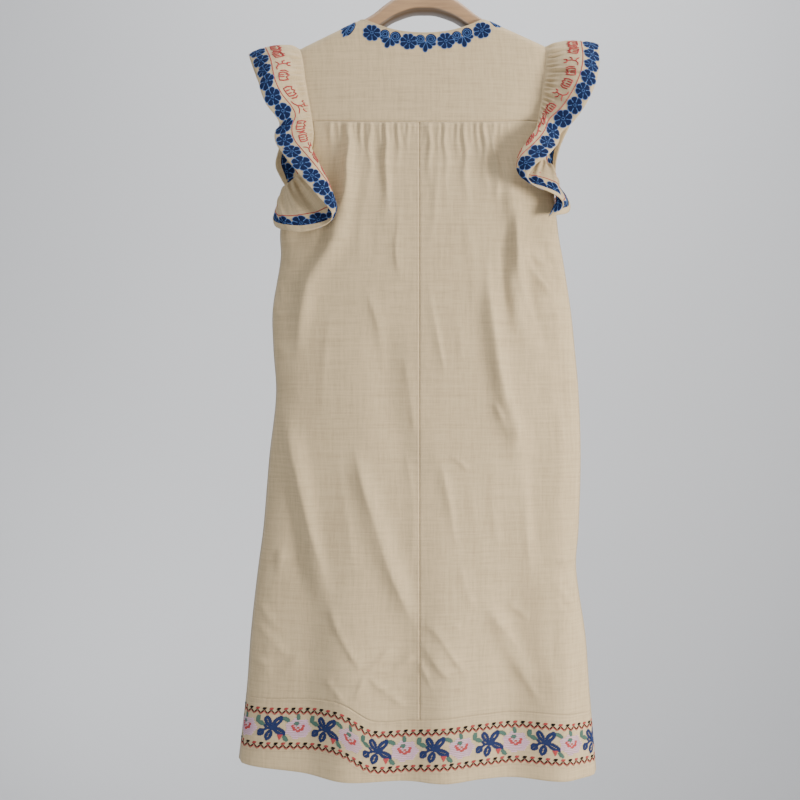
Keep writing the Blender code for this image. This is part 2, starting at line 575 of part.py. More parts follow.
def sleeve(name, rows, left):
    """A gathered strip sewn round the armhole, its wall on both sides of one wavy sheet."""
    turns = column(rows, "turn")
    sheet = np.zeros((len(RUFFLE_ROWS), RUFFLE_COLUMNS, 3))
    for c in range(RUFFLE_COLUMNS):
        turn = c / RUFFLE_COLUMNS
        seam, lift = seam_point(turn, left, RUFFLE_WALL / 2 + RUFFLE_GAP)
        edge = np.array([smooth(turns, column(rows, axis), turn, 1.0) for axis in ("x", "y", "z")])
        bow = np.array([smooth(turns, column(rows, axis), turn, 1.0) for axis in ("bow_x", "bow_y", "bow_z")])
        near = seam + 0.2 * (edge - seam) + STAND_OFF * lift
        far = seam + 0.6 * (edge - seam) + BOW_REACH * bow
        for r, part in enumerate(RUFFLE_ROWS):
            rest = 1 - part
            sheet[r, c] = rest**3 * seam + 3 * rest**2 * part * near + 3 * rest * part**2 * far + part**3 * edge
    normals = grid_normals(sheet, True)
    for r, part in enumerate(RUFFLE_ROWS):
        reach = part / GATHER_REACH
        depth = GATHER_DEPTH * reach * math.exp(1 - reach)
        for c in range(RUFFLE_COLUMNS):
            wave = math.cos(2 * math.pi * RUFFLE_GATHERS * c / RUFFLE_COLUMNS)
            sheet[r, c] += normals[r, c] * depth * wave
    normals = grid_normals(sheet, True)
    half = RUFFLE_WALL / 2 * normals
    return wall_object(name, sheet + half, sheet - half, "linen_ruffle", wrap=True)


def hanger_rows():
    """Sections of the hanger from its left end to its right end."""
    def arm(side):
        rows = []
        for out in HANGER_ARM:
            share = (out - HANGER_ARM[0]) / (HANGER_ARM[-1] - HANGER_ARM[0])
            top = shoulder_z(side * out) - HANGER_CLEARANCE
            height = ARM_HEIGHT_IN + (ARM_HEIGHT_OUT - ARM_HEIGHT_IN) * share
            half = ARM_HALF_IN + (ARM_HALF_OUT - ARM_HALF_IN) * share
            rows.append(HangerRow(side * out, top, top - height, half))
        return rows
    crown = [HangerRow(-row.x, row.top, row.bottom, row.half) for row in HANGER_CROWN[:0:-1]]
    return arm(-1)[::-1] + crown + list(HANGER_CROWN) + arm(1)


def hanger_body():
    """Shaped wooden hanger, lofted through rounded sections and drilled for the hook."""
    rows = hanger_rows()
    mesh = bmesh.new()
    rings = []
    for row in rows:
        middle, tall = (row.top + row.bottom) / 2, (row.top - row.bottom) / 2
        ring = []
        for side in range(HANGER_SIDES):
            angle = 2 * math.pi * (side + 0.5) / HANGER_SIDES
            y = math.copysign(abs(math.cos(angle)) ** (2 / HANGER_SQUARENESS), math.cos(angle))
            z = math.copysign(abs(math.sin(angle)) ** (2 / HANGER_SQUARENESS), math.sin(angle))
            ring.append(mesh.verts.new((row.x, row.half * y, middle + tall * z)))
        rings.append(ring)
    for here, following in zip(rings, rings[1:]):
        for side in range(HANGER_SIDES):
            other = (side + 1) % HANGER_SIDES
            mesh.faces.new([here[side], here[other], following[other], following[side]])
    mesh.faces.new(rings[0])
    mesh.faces.new(rings[-1][::-1])
    bmesh.ops.recalc_face_normals(mesh, faces=mesh.faces)
    wood = finish_object("hanger_body", mesh, "beech_wood")

    drill_mesh = bmesh.new()
    bmesh.ops.create_cone(drill_mesh, cap_ends=True, segments=12,
                          radius1=WIRE_RADIUS + STEM_CLEARANCE, radius2=WIRE_RADIUS + STEM_CLEARANCE,
                          depth=2 * (HANGER_CROWN[0].top - HOOK_STEM_BOTTOM + STEM_CLEARANCE))
    bmesh.ops.translate(drill_mesh, verts=drill_mesh.verts, vec=(0, 0, HANGER_CROWN[0].top))
    drill = finish_object("hook_drill", drill_mesh, "steel_wire")
    drill.hide_render = True
    drill.display_type = "WIRE"
    cut = wood.modifiers.new("hook_hole", "BOOLEAN")
    cut.operation = "DIFFERENCE"
    cut.solver = "EXACT"
    cut.object = drill
    return wood


def hanger_hook():
    """Steel wire hook: a straight stem that turns over a rail's round."""
    radius = HOOK_INNER_RADIUS + WIRE_RADIUS
    middle_z = -HOOK_INNER_RADIUS
    route = [(0.0, HOOK_STEM_BOTTOM), (0.0, -0.072), (0.0, HOOK_STEM_TOP), (0.0015, -0.0535), (0.0055, -0.0475)]
    for step in range(HOOK_ARC_POINTS + 1):
        share = step / HOOK_ARC_POINTS
        angle = math.radians(HOOK_START_DEGREES + (HOOK_END_DEGREES - HOOK_START_DEGREES) * share)
        route.append((radius * math.cos(angle), middle_z + radius * math.sin(angle)))
    data = bpy.data.curves.new("hanger_hook", "CURVE")
    data.dimensions = "3D"
    data.bevel_depth = WIRE_RADIUS
    data.bevel_resolution = 2
    data.use_fill_caps = True
    spline = data.splines.new("POLY")
    spline.points.add(len(route) - 1)
    for point, (x, z) in zip(spline.points, route):
        point.co = (x, 0.0, z, 1.0)
    hook = bpy.data.objects.new("hanger_hook", data)
    bpy.context.scene.collection.objects.link(hook)
    data.materials.append(material("steel_wire"))
    return hook


def main():
    clear_scene()
    yoke_piece()
    seam_left = back_panel("back_left", True)
    seam_right = back_panel("back_right", False)
    seam_front = front_panel()
    hem_band("hem_band_back", seam_left[::-1] + seam_right[1:], False)
    hem_band("hem_band_front", seam_front, True)
    sleeve("sleeve_left", RUFFLE_LEFT, True)
    sleeve("sleeve_right", RUFFLE_RIGHT, False)
    hanger_body()
    hanger_hook()


if __name__ == "__main__":
    main()
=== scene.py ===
"""Looks of a ruffle-sleeved linen shift dress on its hanger, laid out as a Blender add-on.

Metres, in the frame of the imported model.  The back of the dress faces -Y.
"""

import math
from collections import namedtuple

import bpy
import numpy as np
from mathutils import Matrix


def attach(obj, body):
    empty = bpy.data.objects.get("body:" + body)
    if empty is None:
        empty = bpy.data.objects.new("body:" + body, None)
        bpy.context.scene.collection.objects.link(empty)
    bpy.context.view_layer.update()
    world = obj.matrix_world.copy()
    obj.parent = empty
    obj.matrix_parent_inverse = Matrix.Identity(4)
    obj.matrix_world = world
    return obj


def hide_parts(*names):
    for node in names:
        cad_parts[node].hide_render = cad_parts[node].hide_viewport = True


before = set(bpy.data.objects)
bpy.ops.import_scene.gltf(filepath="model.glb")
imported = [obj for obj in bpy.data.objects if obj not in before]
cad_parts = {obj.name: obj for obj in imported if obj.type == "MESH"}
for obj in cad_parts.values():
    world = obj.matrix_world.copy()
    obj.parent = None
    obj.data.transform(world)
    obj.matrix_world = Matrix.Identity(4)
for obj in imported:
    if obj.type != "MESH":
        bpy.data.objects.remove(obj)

bl_info = {
    "name": "Ruffle-sleeved linen dress",
    "version": (1, 0, 0),
    "blender": (4, 5, 0),
    "location": "3D View > Sidebar > Dress",
    "description": "Cloth, embroidery, hanger and studio of a linen shift dress",
    "category": "Object",
}


def rows_of(kind, unit, numbers):
    """A table's rows, from whole numbers of so many to the metre or to the turn."""
    return tuple(kind(*(number / unit for number in row)) for row in numbers)


def paths_of(kind, numbers):
    """Folds or creases: height and half width in tenths of a millimetre, then x and z in millimetres."""
    given = len(kind._fields) - 1
    return tuple(kind(row[0] / 10000, row[1] / 10000, *row[2:given],
                      tuple((x / 1000, z / 1000) for x, z in zip(row[given::2], row[given + 1::2])))
                 for row in numbers)


# Body of the dress, with the same tables as its solids
SEAM_GAP = 0.00012
HALF_GAP = SEAM_GAP / 2
SIDE_ROUNDNESS = 2.4
SHOULDER_ROUND = 0.014
CENTRE_X = -0.008
FRONT_WAVE = 0.7              # the front's share of the hem's waves
CENTRE_SEAM_HALF = 0.0011
CENTRE_SEAM_DEPTH = 0.0003
PUCKER_HALF = 0.006           # puckers beside the centre back seam
PUCKER_HEIGHT = 0.0004
YOKE_EASE = 0.006             # run below the yoke seam over which creases rise
BAND_EASE = 0.004             # run above the band seam over which the centre seam dies away
SIDE_EASE = 0.03              # share of the half width over which creases die away at the side seam
UNDERARM_EASE = 0.03          # drop from the underarm over which the side seam reaches its own line
SIDE_FLATNESS = 6             # powers that end folds, and lean creases outward, near the side seam
SIDE_LEAN = 5

Section = namedtuple("Section", "z left right back front")
SECTIONS = rows_of(Section, 1000, (
    (-120, -205, 190, 18, 18), (-280, -208, 193, 30, 36), (-373, -212, 195, 36, 44),
    (-444, -216, 202, 38, 47), (-478, -215, 208, 39, 48), (-556, -227, 220, 41, 49),
    (-613, -226, 226, 42, 50), (-682, -222, 232, 43, 51), (-775, -232, 235, 45, 53),
    (-882, -241, 232, 47, 55), (-935, -248, 228, 48, 56), (-976, -253, 232, 49, 57),
    (-1042, -260, 242, 51, 59), (-1123, -266, 248, 54, 62), (-1228, -278, 257, 57, 65),
    (-1300, -286, 262, 58, 66),
))
Hem = namedtuple("Hem", "x band_top hem wave")
HEM = rows_of(Hem, 1000, (
    (-290, -1130, -1226, 0), (-250, -1129, -1228, 4), (-175, -1126, -1232, 6), (-115, -1152, -1238, -9),
    (-30, -1153, -1239, 3), (27, -1150, -1241, -5), (80, -1148, -1239, 6), (132, -1147, -1241, 15),
    (205, -1147, -1244, -9), (240, -1152, -1245, 2), (270, -1158, -1243, 0),
))
WAVE_START = -0.72
NECK_LEFT = -0.095
NECK_RIGHT = 0.0927
NECK_POINT_Z = -0.1228
BACK_NECK_Z = -0.1475
BACK_NECK_POWER = 2.2
FRONT_NECK_Z = -0.235
FRONT_NECK_POWER = 1.8
YOKE_Z = -0.279
YOKE_DIP = 0.004
ArmholeRow = namedtuple("ArmholeRow", "z x")
ARMHOLE_LEFT = rows_of(ArmholeRow, 10000, (
    (-1660, -1860), (-1820, -1810), (-2220, -1750), (-2510, -1700), (-2740, -1660), (-3010, -1630),
    (-3250, -1670), (-3450, -1770), (-3600, -1900), (-3690, -2020), (-3730, -2120),
))
ARMHOLE_RIGHT = rows_of(ArmholeRow, 10000, (
    (-1615, 1815), (-1810, 1810), (-2180, 1780), (-2480, 1740), (-2710, 1690), (-2900, 1660),
    (-3100, 1670), (-3280, 1730), (-3430, 1820), (-3510, 1880), (-3550, 1936),
))
FRONT_SCOOP = 0.010

# Grids of the panels, and how their edges are turned under
BACK_WIDTH = 0.26
BACK_LENGTH = 0.87
FRONT_WIDTH = 0.52
FRONT_LENGTH = 1.02
NECK_SHARE = 0.5              # of the front's half columns, up to the neck point
YOKE_COLUMNS = (40, 42, 42, 40)
YOKE_ROWS = 62
BACK_ROW_POWER = 1.08         # rows lie closer together at a panel's top
FRONT_ROW_POWER = 1.2
YOKE_ROW_POWER = 1.6
ALL_SIDES = ("top", "bottom", "first", "last")
SEAM_TURN = ((0, 0.0008, 0.00006), (0, 0.0060, 0.0001))   # rows back, depth, outward
BAND_HEM = (0.012, 0.003)     # width, and spacing of the rows there
RUFFLE_HEM = (0.008, 0.0025)

# Gathers under the yoke: place at the seam, height, length and half width
Gather = namedtuple("Gather", "x height length half")
GATHERS = rows_of(Gather, 10000, (
    (-1440, 10, 220, 16), (-1375, 22, 600, 30), (-1300, 12, 260, 16), (-1262, 20, 450, 22),
    (-1205, 9, 160, 12), (-1160, 26, 1000, 30), (-1102, 34, 2050, 34), (-1050, 11, 200, 13),
    (-1015, 16, 340, 18), (-968, 8, 140, 11), (-930, 24, 750, 26), (-872, 10, 240, 14),
    (-838, 19, 480, 20), (-790, 30, 1500, 30), (-742, 10, 180, 12), (-712, 14, 300, 16),
    (-655, 21, 550, 24), (-600, 9, 160, 12), (-562, 32, 1900, 32), (-510, 12, 240, 14),
    (-478, 17, 400, 18), (-425, 9, 150, 12), (-388, 24, 900, 26), (-335, 11, 260, 14), (-300, 15, 360, 17),
    (-242, 20, 600, 22), (-195, 8, 140, 11), (-158, 13, 280, 15), (-25, 11, 220, 14), (12, 17, 420, 19),
    (68, 26, 1200, 28), (120, 9, 160, 12), (158, 15, 320, 16), (205, 21, 650, 23), (262, 10, 180, 12),
    (300, 27, 1400, 28), (352, 12, 260, 14), (395, 17, 400, 18), (448, 8, 140, 11), (482, 22, 700, 24),
    (540, 13, 280, 15), (585, 30, 1700, 30), (640, 10, 180, 12), (678, 18, 440, 19), (732, 9, 150, 11),
    (770, 24, 850, 26), (828, 12, 240, 14), (868, 31, 1500, 30), (922, 10, 180, 12), (962, 18, 450, 19),
    (1018, 26, 1100, 28), (1072, 10, 200, 13), (1118, 20, 580, 22), (1175, 11, 240, 14),
    (1232, 17, 400, 20), (1300, 9, 180, 14),
))
GATHER_DRIFT = 0.25
GATHER_WIDENING = 9           # a metre down
GATHER_SWAY = 0.0016
SWAY_START = 0.03
GATHER_START = 0.0035
GATHER_LIFT = 1.5

# Largest folds, as in the solids, then the creases that lie over them
Fold = namedtuple("Fold", "height half_width path")
BACK_FOLDS = paths_of(Fold, (
    (80, 140, -113, -287, -113, -360, -122, -401, -130, -452, -172, -517, -186, -582, -190, -626),
    (75, 150, -214, -682, -205, -720, -187, -792, -178, -843, -163, -923, -137, -1010),
    (55, 160, -108, -749, -72, -880, -12, -1039),
    (80, 130, 120, -330, 132, -438, 135, -482, 128, -517, 135, -575, 152, -618),
    (70, 140, 93, -500, 99, -582, 106, -627, 115, -682, 131, -734, 138, -800),
    (50, 120, 145, -452, 178, -500, 203, -553),
    (50, 140, 94, -990, 128, -1060, 160, -1112),
    (-55, 200, -172, -350, -178, -420, -200, -480),
    (-50, 220, 165, -700, 170, -850, 182, -980),
    (-45, 240, -60, -560, -52, -700, -20, -820),
))
FRONT_FOLDS = paths_of(Fold, (
    (70, 180, -105, -300, -112, -450, -150, -620, -160, -760),
    (75, 200, 90, -290, 100, -430, 128, -600, 134, -720),
    (60, 220, 10, -420, 0, -620, -20, -850),
    (60, 220, 120, -780, 100, -920, 75, -1080),
    (60, 220, -190, -800, -160, -930, -120, -1080),
    (-50, 260, -50, -500, -70, -700, -80, -900),
))

# Creases: height (below 0 is a trough), half width, lean to one side, path of (x, z) places
Crease = namedtuple("Crease", "height half_width skew path")
BACK_CREASES = paths_of(Crease, (
    (30, 70, 0.5, -110, -291, -113, -343, -116, -386, -127, -418),
    (22, 120, 0.3, -127, -418, -137, -459, -164, -500, -178, -553, -185, -611, -190, -662),
    (22, 60, 0.2, -59, -291, -56, -343, -55, -386, -50, -437),
    (12, 80, 0, -85, -291, -87, -357, -94, -444, -98, -502),
    (16, 50, 0.3, -37, -401, -40, -444, -42, -476, -35, -524),
    (18, 80, 0.4, -88, -520, -79, -550, -69, -581, -64, -618, -62, -655),
    (13, 60, 0.2, -32, -618, -26, -655, -19, -705, -16, -749),
    (17, 60, -0.4, 2, -513, 13, -568, 25, -627, 32, -669),
    (12, 80, 0, 22, -291, 19, -357, 13, -430, 7, -495),
    (30, 60, -0.4, 92, -291, 100, -321, 109, -355, 106, -386, 105, -410),
    (32, 90, -0.5, 92, -459, 93, -502, 95, -543, 103, -597, 109, -645, 123, -708, 128, -749),
    (36, 60, 0.3, 144, -384, 135, -414, 134, -452, 135, -488, 142, -529, 154, -563, 164, -595),
    (34, 50, -0.3, 154, -439, 147, -475, 161, -505, 179, -527, 190, -546),
    (30, 60, 0.2, 168, -430, 183, -466, 197, -505, 208, -546),
    (22, 50, 0, 148, -473, 174, -491, 199, -500),
    (16, 50, 0, 190, -546, 196, -582, 197, -618),
    (-26, 90, 0, 122, -394, 121, -444, 116, -488, 119, -546, 131, -604),
    (-20, 80, 0, 152, -491, 158, -546, 174, -597, 184, -647),
    (10, 70, 0, 60, -423, 67, -466, 71, -517, 70, -575),
    (9, 70, 0, 39, -546, 51, -597, 54, -647),
    (30, 90, 0.5, -214, -688, -198, -758, -184, -816, -168, -879, -148, -943, -137, -984),
    (24, 70, 0.3, -140, -978, -130, -1016, -111, -1051, -87, -1085),
    (-30, 130, 0, -207, -792, -195, -850, -187, -916, -175, -981),
    (-20, 110, 0, -149, -423, -155, -473, -181, -531),
    (26, 90, 0.4, -107, -742, -97, -785, -87, -826, -69, -879, -52, -935, -26, -995, -11, -1030),
    (22, 70, 0.3, -11, -1030, 5, -1056, 22, -1080, 45, -1100),
    (22, 70, -0.3, 18, -758, 29, -807, 38, -853, 45, -901, 50, -923),
    (13, 80, -0.2, 50, -923, 60, -966, 74, -998),
    (15, 35, 0, 36, -771, 51, -782, 67, -794),
    (24, 60, -0.4, 99, -688, 110, -714, 122, -743),
    (15, 50, -0.2, 126, -684, 132, -720, 137, -755),
    (12, 80, 0, 100, -763, 97, -821, 103, -879, 112, -923),
    (16, 70, 0.2, 77, -978, 95, -998, 113, -1022, 131, -1046, 148, -1071),
    (15, 60, 0.2, 118, -984, 135, -998, 154, -1013),
    (24, 45, 0, -87, -1085, -65, -1065, -42, -1048),
    (18, 40, 0, -85, -1085, -94, -1104, -101, -1122),
    (20, 45, 0, -87, -1085, -65, -1104, -43, -1122, -24, -1135),
    (22, 40, 0, -48, -1080, -30, -1069, -11, -1058),
    (15, 40, 0, -11, -1061, 0, -1085, 12, -1111),
    (20, 60, 0.2, -8, -1009, 18, -1029, 39, -1061, 63, -1091),
    (12, 40, 0, 28, -1020, 39, -1016, 54, -1019),
    (18, 50, 0, -249, -978, -232, -1006, -210, -1033),
    (20, 50, 0, -252, -1014, -227, -1039, -197, -1069),
    (17, 40, 0, -255, -1075, -243, -1074, -230, -1078),
    (20, 35, 0.3, -210, -901, -213, -926, -216, -952),
    (14, 50, 0, -227, -1039, -230, -1075, -235, -1104),
    (24, 50, 0, 186, -956, 199, -969, 212, -987, 225, -1017),
    (22, 50, 0, 195, -935, 208, -926, 221, -917),
    (16, 60, 0, 196, -987, 213, -1013, 228, -1053),
    (-18, 100, 0, 183, -966, 186, -1017, 190, -1068, 203, -1111),
    (14, 60, 0, -178, -1055, -193, -1077, -211, -1100),
    (18, 50, 0, -148, -1090, -132, -1107, -116, -1126),
    (13, 60, 0, 126, -1065, 150, -1103, 174, -1139),
    (10, 90, 0, -137, -546, -143, -604, -149, -669, -145, -734),
    (12, 80, 0, -33, -749, -21, -807, -17, -865, -20, -938),
    (11, 80, 0, -130, -749, -120, -821, -108, -894, -100, -966),
    (10, 90, 0, 66, -807, 74, -879, 86, -938),
    (-12, 90, 0, 152, -749, 158, -836, 164, -923),
    (15, 70, 0, 138, -771, 147, -836, 151, -908, 157, -966),
    (14, 60, 0, 190, -662, 199, -734, 202, -807, 197, -879),
    (12, 60, 0, 208, -589, 213, -676, 215, -749),
    (10, 35, 0, -172, -540, -161, -534, -146, -531),
    (9, 35, 0, -225, -597, -210, -618, -193, -624),
    (16, 40, 0, -227, -546, -217, -563, -204, -569),
    (15, 40, 0, -222, -510, -211, -531, -206, -555),
))
FRONT_CREASES = paths_of(Crease, (
    (26, 80, 0.3, -60, -262, -64, -330, -60, -420),
    (22, 70, -0.2, 44, -256, 50, -320, 48, -390),
    (16, 60, 0, -20, -262, -16, -310, -22, -360),
    (34, 80, 0.3, -160, -392, -140, -430, -128, -486),
    (30, 70, -0.3, 152, -380, 136, -424, 120, -470),
    (24, 80, 0.2, -180, -450, -150, -520, -140, -600, -150, -680),
    (26, 90, -0.3, 172, -460, 150, -540, 156, -640, 170, -700),
    (20, 80, 0.2, -40, -470, -34, -560, -44, -660, -60, -720),
    (20, 80, -0.2, 60, -500, 54, -600, 66, -700, 60, -780),
    (24, 90, 0.3, -100, -700, -90, -800, -60, -900, -40, -980),
    (22, 80, -0.2, 30, -790, 24, -880, 36, -960, 30, -1040),
    (20, 80, 0.2, 160, -780, 150, -880, 160, -980, 180, -1060),
    (22, 60, 0, -200, -930, -170, -980, -130, -1010),
    (20, 50, 0, -90, -1040, -50, -1070, -10, -1110),
    (18, 50, 0, 60, -1020, 90, -1060, 100, -1110),
    (18, 50, 0, -30, -1030, -50, -1080, -60, -1120),
))
FOLD_ENDS = 0.25              # share of a fold over which it rises and dies away
CREASE_ENDS = 0.30            # share of a crease over which it rises and dies away
CREASE_LIFT = 1.3
CREASE_REACH = 4              # half widths past its path where a crease still tells
CREASE_THINNING = 0.25
CREASE_SWELL = 0.30

# Sleeve ruffles, as in the solids
Ruffle = namedtuple("Ruffle", "turn x y z bow_x bow_y bow_z")
RUFFLE_LEFT = rows_of(Ruffle, 1000, (
    (0, -263, 0, -172, 0, 0, 9), (50, -247, -30, -210, 0, -12, 10), (100, -238, -47, -242, 0, -12, 10),
    (150, -229, -47, -263, 0, -12, 6), (190, -216, -40, -279, 2, -12, 4),
    (225, -212, -36, -289, 4, -10, 4), (260, -218, -42, -302, 14, -10, 4),
    (300, -214, -53, -322, 24, -10, 4), (335, -197, -63, -347, 32, -12, 4),
    (365, -175, -69, -374, 38, -10, 0), (390, -153, -71, -400, 41, -8, -6),
    (415, -133, -66, -424, 34, -4, -14), (440, -141, -55, -438, 22, -4, -12),
    (470, -174, -48, -447, 4, -8, -6), (505, -203, -38, -443, -10, -12, 0),
    (535, -222, -12, -430, -14, -4, 2), (562, -222, 18, -404, -12, 6, 2),
    (590, -215, 46, -376, -10, 10, 0), (620, -214, 64, -360, -8, 12, 0), (660, -222, 62, -345, -6, 14, 2),
    (710, -230, 52, -325, -6, 14, 4), (760, -224, 44, -302, -4, 12, 4), (805, -217, 40, -282, -3, 12, 4),
    (850, -221, 42, -262, -2, 12, 6), (900, -240, 48, -230, 0, 12, 8), (950, -256, 32, -196, 0, 10, 9),
))
RUFFLE_RIGHT = rows_of(Ruffle, 1000, (
    (0, 261, 0, -157, 0, 0, 6), (50, 258, -24, -193, 0, -10, 10), (100, 249, -42, -228, 0, -12, 10),
    (150, 234, -48, -261, 0, -12, 6), (200, 217, -42, -285, -4, -12, 4),
    (240, 200, -36, -300, -12, -12, 2), (275, 193, -48, -318, -22, -12, 0),
    (310, 178, -64, -338, -34, -12, 0), (345, 157, -71, -356, -42, -10, -4),
    (375, 146, -68, -374, -38, -8, -8), (400, 158, -61, -385, -26, -6, -8),
    (425, 178, -57, -392, -12, -8, -6), (445, 194, -52, -400, -4, -10, -2),
    (465, 200, -47, -410, 0, -10, 0), (485, 190, -43, -420, 0, -12, 0), (505, 180, -40, -424, 10, -14, 0),
    (525, 188, -34, -421, 20, -10, 0), (555, 213, -10, -412, 16, -2, 2), (600, 222, 24, -390, 8, 10, 4),
    (650, 214, 54, -362, 6, 14, 4), (710, 208, 60, -332, 6, 14, 4), (780, 213, 50, -298, 4, 12, 4),
    (850, 229, 44, -262, 2, 12, 6), (900, 245, 46, -226, 0, 12, 8), (950, 259, 30, -187, 0, 10, 8),
))
RUFFLE_CLEARANCE = 0.0004     # from the body's surface to the strip's sewn edge
PROBE = 0.001
STAND_OFF = 0.012
BOW_REACH = 1.33
NEAR_SHARE = 0.2              # of the way from seam to edge, for a strip's two guiding places
FAR_SHARE = 0.6
UNDERARM_SHARE = 0.85         # of the armhole's half, from where the strip turns outward
UNDERARM_RUN = 0.12
RUFFLE_ROW_POWER = 1.15
RIDGE_POWER = 0.6

# Gathers of a ruffle: how many, and the table of their uneven depth and reach, used in turn
RUFFLE_GATHERS = 58
RUFFLE_GATHER_REACH = 1.7
RuffleGather = namedtuple("RuffleGather", "depth reach shift")
RUFFLE_GATHER_SIZES = rows_of(RuffleGather, 10000, (
    (19, 1100, 0), (10, 600, 1500), (14, 1400, -1000), (22, 1000, 500), (9, 800, -1500), (16, 900, 1000),
    (18, 2400, 0), (12, 1000, -500), (21, 900, 800),
))

# Broad folds that fan out over a ruffle: place round the armhole, half width, depth
RuffleFold = namedtuple("RuffleFold", "turn half depth")
RUFFLE_FOLDS = rows_of(RuffleFold, 10000, (
    (1050, 100, 18), (1750, 80, -16), (2450, 90, 18), (3100, 80, -14), (4500, 60, 40), (4690, 60, -36),
    (4900, 60, 42), (5100, 60, -34), (6100, 90, 18), (7000, 100, -18), (7900, 90, 20), (8800, 100, -16),
))

# Wooden hanger
HangerRow = namedtuple("HangerRow", "x top bottom half")
HANGER_CLEARANCE = 0.0030
HANGER_CROWN = rows_of(HangerRow, 10000, (
    (0, -730, -1125, 130), (150, -750, -1130, 130), (300, -825, -1170, 130), (470, -925, -1240, 128),
    (620, -1035, -1335, 126), (750, -1140, -1415, 122),
))
HANGER_ARM = (0.094, 0.112, 0.130, 0.148, 0.162)
ARM_HEIGHT_IN = 0.021
ARM_HEIGHT_OUT = 0.014
ARM_HALF_IN = 0.0115
ARM_HALF_OUT = 0.0080
HANGER_SQUARENESS = 3.6
HANGER_SIDES = 40
HANGER_STEPS = 110
HANGER_END = 0.006            # length of an arm's rounded end
HANGER_END_RUN = 0.0062       # the same with what is left flat at the tip

# Steel hook
WIRE_RADIUS = 0.0021
HOOK_INNER_RADIUS = 0.020
HOOK_STEM = ((0.0, -0.085), (0.0, -0.072), (0.0, -0.060), (0.0015, -0.0535), (0.0055, -0.0475))
HOOK_START_DEGREES = -62
HOOK_END_DEGREES = 205

# Threads
PAD_RINGS = (1.0, 0.72, 0.36)  # rings of points in a satin patch, as shares of its outline
PAD_HEIGHT = 0.00045
END_TAPER = 0.55              # of a thread's width at its ends
THREAD_RISE = 0.45            # height of a motif's thread as a share of its width
STROKE_STEP = 1.8             # longest step along a motif's stroke, in millimetres
DASH_LENGTH = 0.0030
DASH_GAP = 0.0016
DASH_WIDTH = 0.0006
DASH_HEIGHT = 0.0003
LIFT = 0.00015                # from the cloth to the middle of a thread's underside
SINK = 0.00005                # how far a thread's edges lie below that

# Embroidery
MOTIF_STEP = 0.0267           # from daisy to scroll round the neckline
NECK_DAISIES = (-0.0719, -0.0216, 0.0296, 0.0787)
NECK_SCROLLS = (-0.0474, 0.0024, 0.0531)
NECK_OFFSET = 0.0152
NECK_OVERLAP = 0.005          # by which the front's outer motifs reach on to the yoke
RUFFLE_DAISY_STEP = 0.0246
RUFFLE_DAISY_OFFSET = 0.0130
RUFFLE_LINE = 0.0270
RUFFLE_LINE_WIDTH = 0.0014
RUFFLE_LINE_HEIGHT = 0.0005
TULIP_STEP = 0.0250
TULIP_OFFSET = 0.0330
TULIP_SCALE = 1.75

# Motifs: sizes in millimetres, threads' widths in metres
NECK_DAISY_RADIUS = 12.4
RUFFLE_DAISY_RADIUS = 12.6
RUFFLE_DAISY_SPREAD = 0.6
PETAL_POINTS = 16
PETAL_FULLNESS = 0.70
PETAL_TAPER = 0.44            # by which a petal is fuller at its tip
DAISY_MIDDLE = 0.50           # shares of a daisy's radius
DAISY_PETAL_START = 0.20
DAISY_RING = 0.15
DAISY_UNEVEN = 0.07
DAISY_PETAL_WIDTH = 0.97      # share of the room between neighbours
LOOP_WIDTH = 0.0011
RING_WIDTH = 0.0016
CURL_WIDTH = 0.0017
RED_WIDTH = 0.0012
SCROLL_LOBES = ((160, 14.0, 3.6), (130, 13.4, 4.0), (96, 17.5, 4.0), (62, 14.0, 4.0), (26, 14.6, 3.8))
SCROLL_FAN = (0.2, -2.2)      # middle of the lobes' fan
SCROLL_LOBE_START = 1.6
CURL_TURNS = 2.2
CURL_CLOSING = 0.78
CURL_POINTS = 11              # a turn
CURL_INSET = 0.4
SCROLL_CURLS = ((7.0, -4.6, 8.0, 1), (-8.2, -4.8, 7.0, -1))

# Topstitching: distances in from the edges and seams
EDGE_STITCH = 0.0022
CENTRE_STITCH = 0.0030
ARMHOLE_STITCH = 0.0028
RUFFLE_STITCH = 0.0055
BAND_STITCH_ROWS = (0.0030, 0.0765)
YOKE_STITCH_END = 0.003       # kept free at the ends of a row
CENTRE_STITCH_END = 0.002
ARMHOLE_STITCH_END = 0.004

# Studio
STUDIO_HALF = 4.0
FLOOR_Z = -2.42
WALL_Y = 2.5
WALL_TOP = 2.5
AIR_COLOUR = (0.90, 0.93, 1.0, 1.0)
AIR_STRENGTH = 0.40
CAMERA_LENS = 40.5
CAMERA_PLACE = (-0.036, -1.35, -0.691)
Light = namedtuple("Light", "name place aim power size tint")
LIGHTS = (
    Light("key_light", (1.75, -1.10, -0.80), (0.0, 0.0, -0.85), 82.0, 0.6, (1.0, 0.95, 0.87)),
    Light("fill_light", (-1.3, -2.2, -1.1), (0.0, 0.0, -0.9), 28.0, 2.0, (0.98, 0.99, 1.0)),
    Light("wall_light", (0.4, 0.2, 1.9), (-0.1, 2.5, -0.7), 112.0, 2.6, (1.0, 1.0, 1.0)),
    Light("low_wall_light", (-1.3, 1.0, -2.1), (-0.6, 2.5, -1.2), 22.0, 1.6, (1.0, 1.0, 1.0)),
)


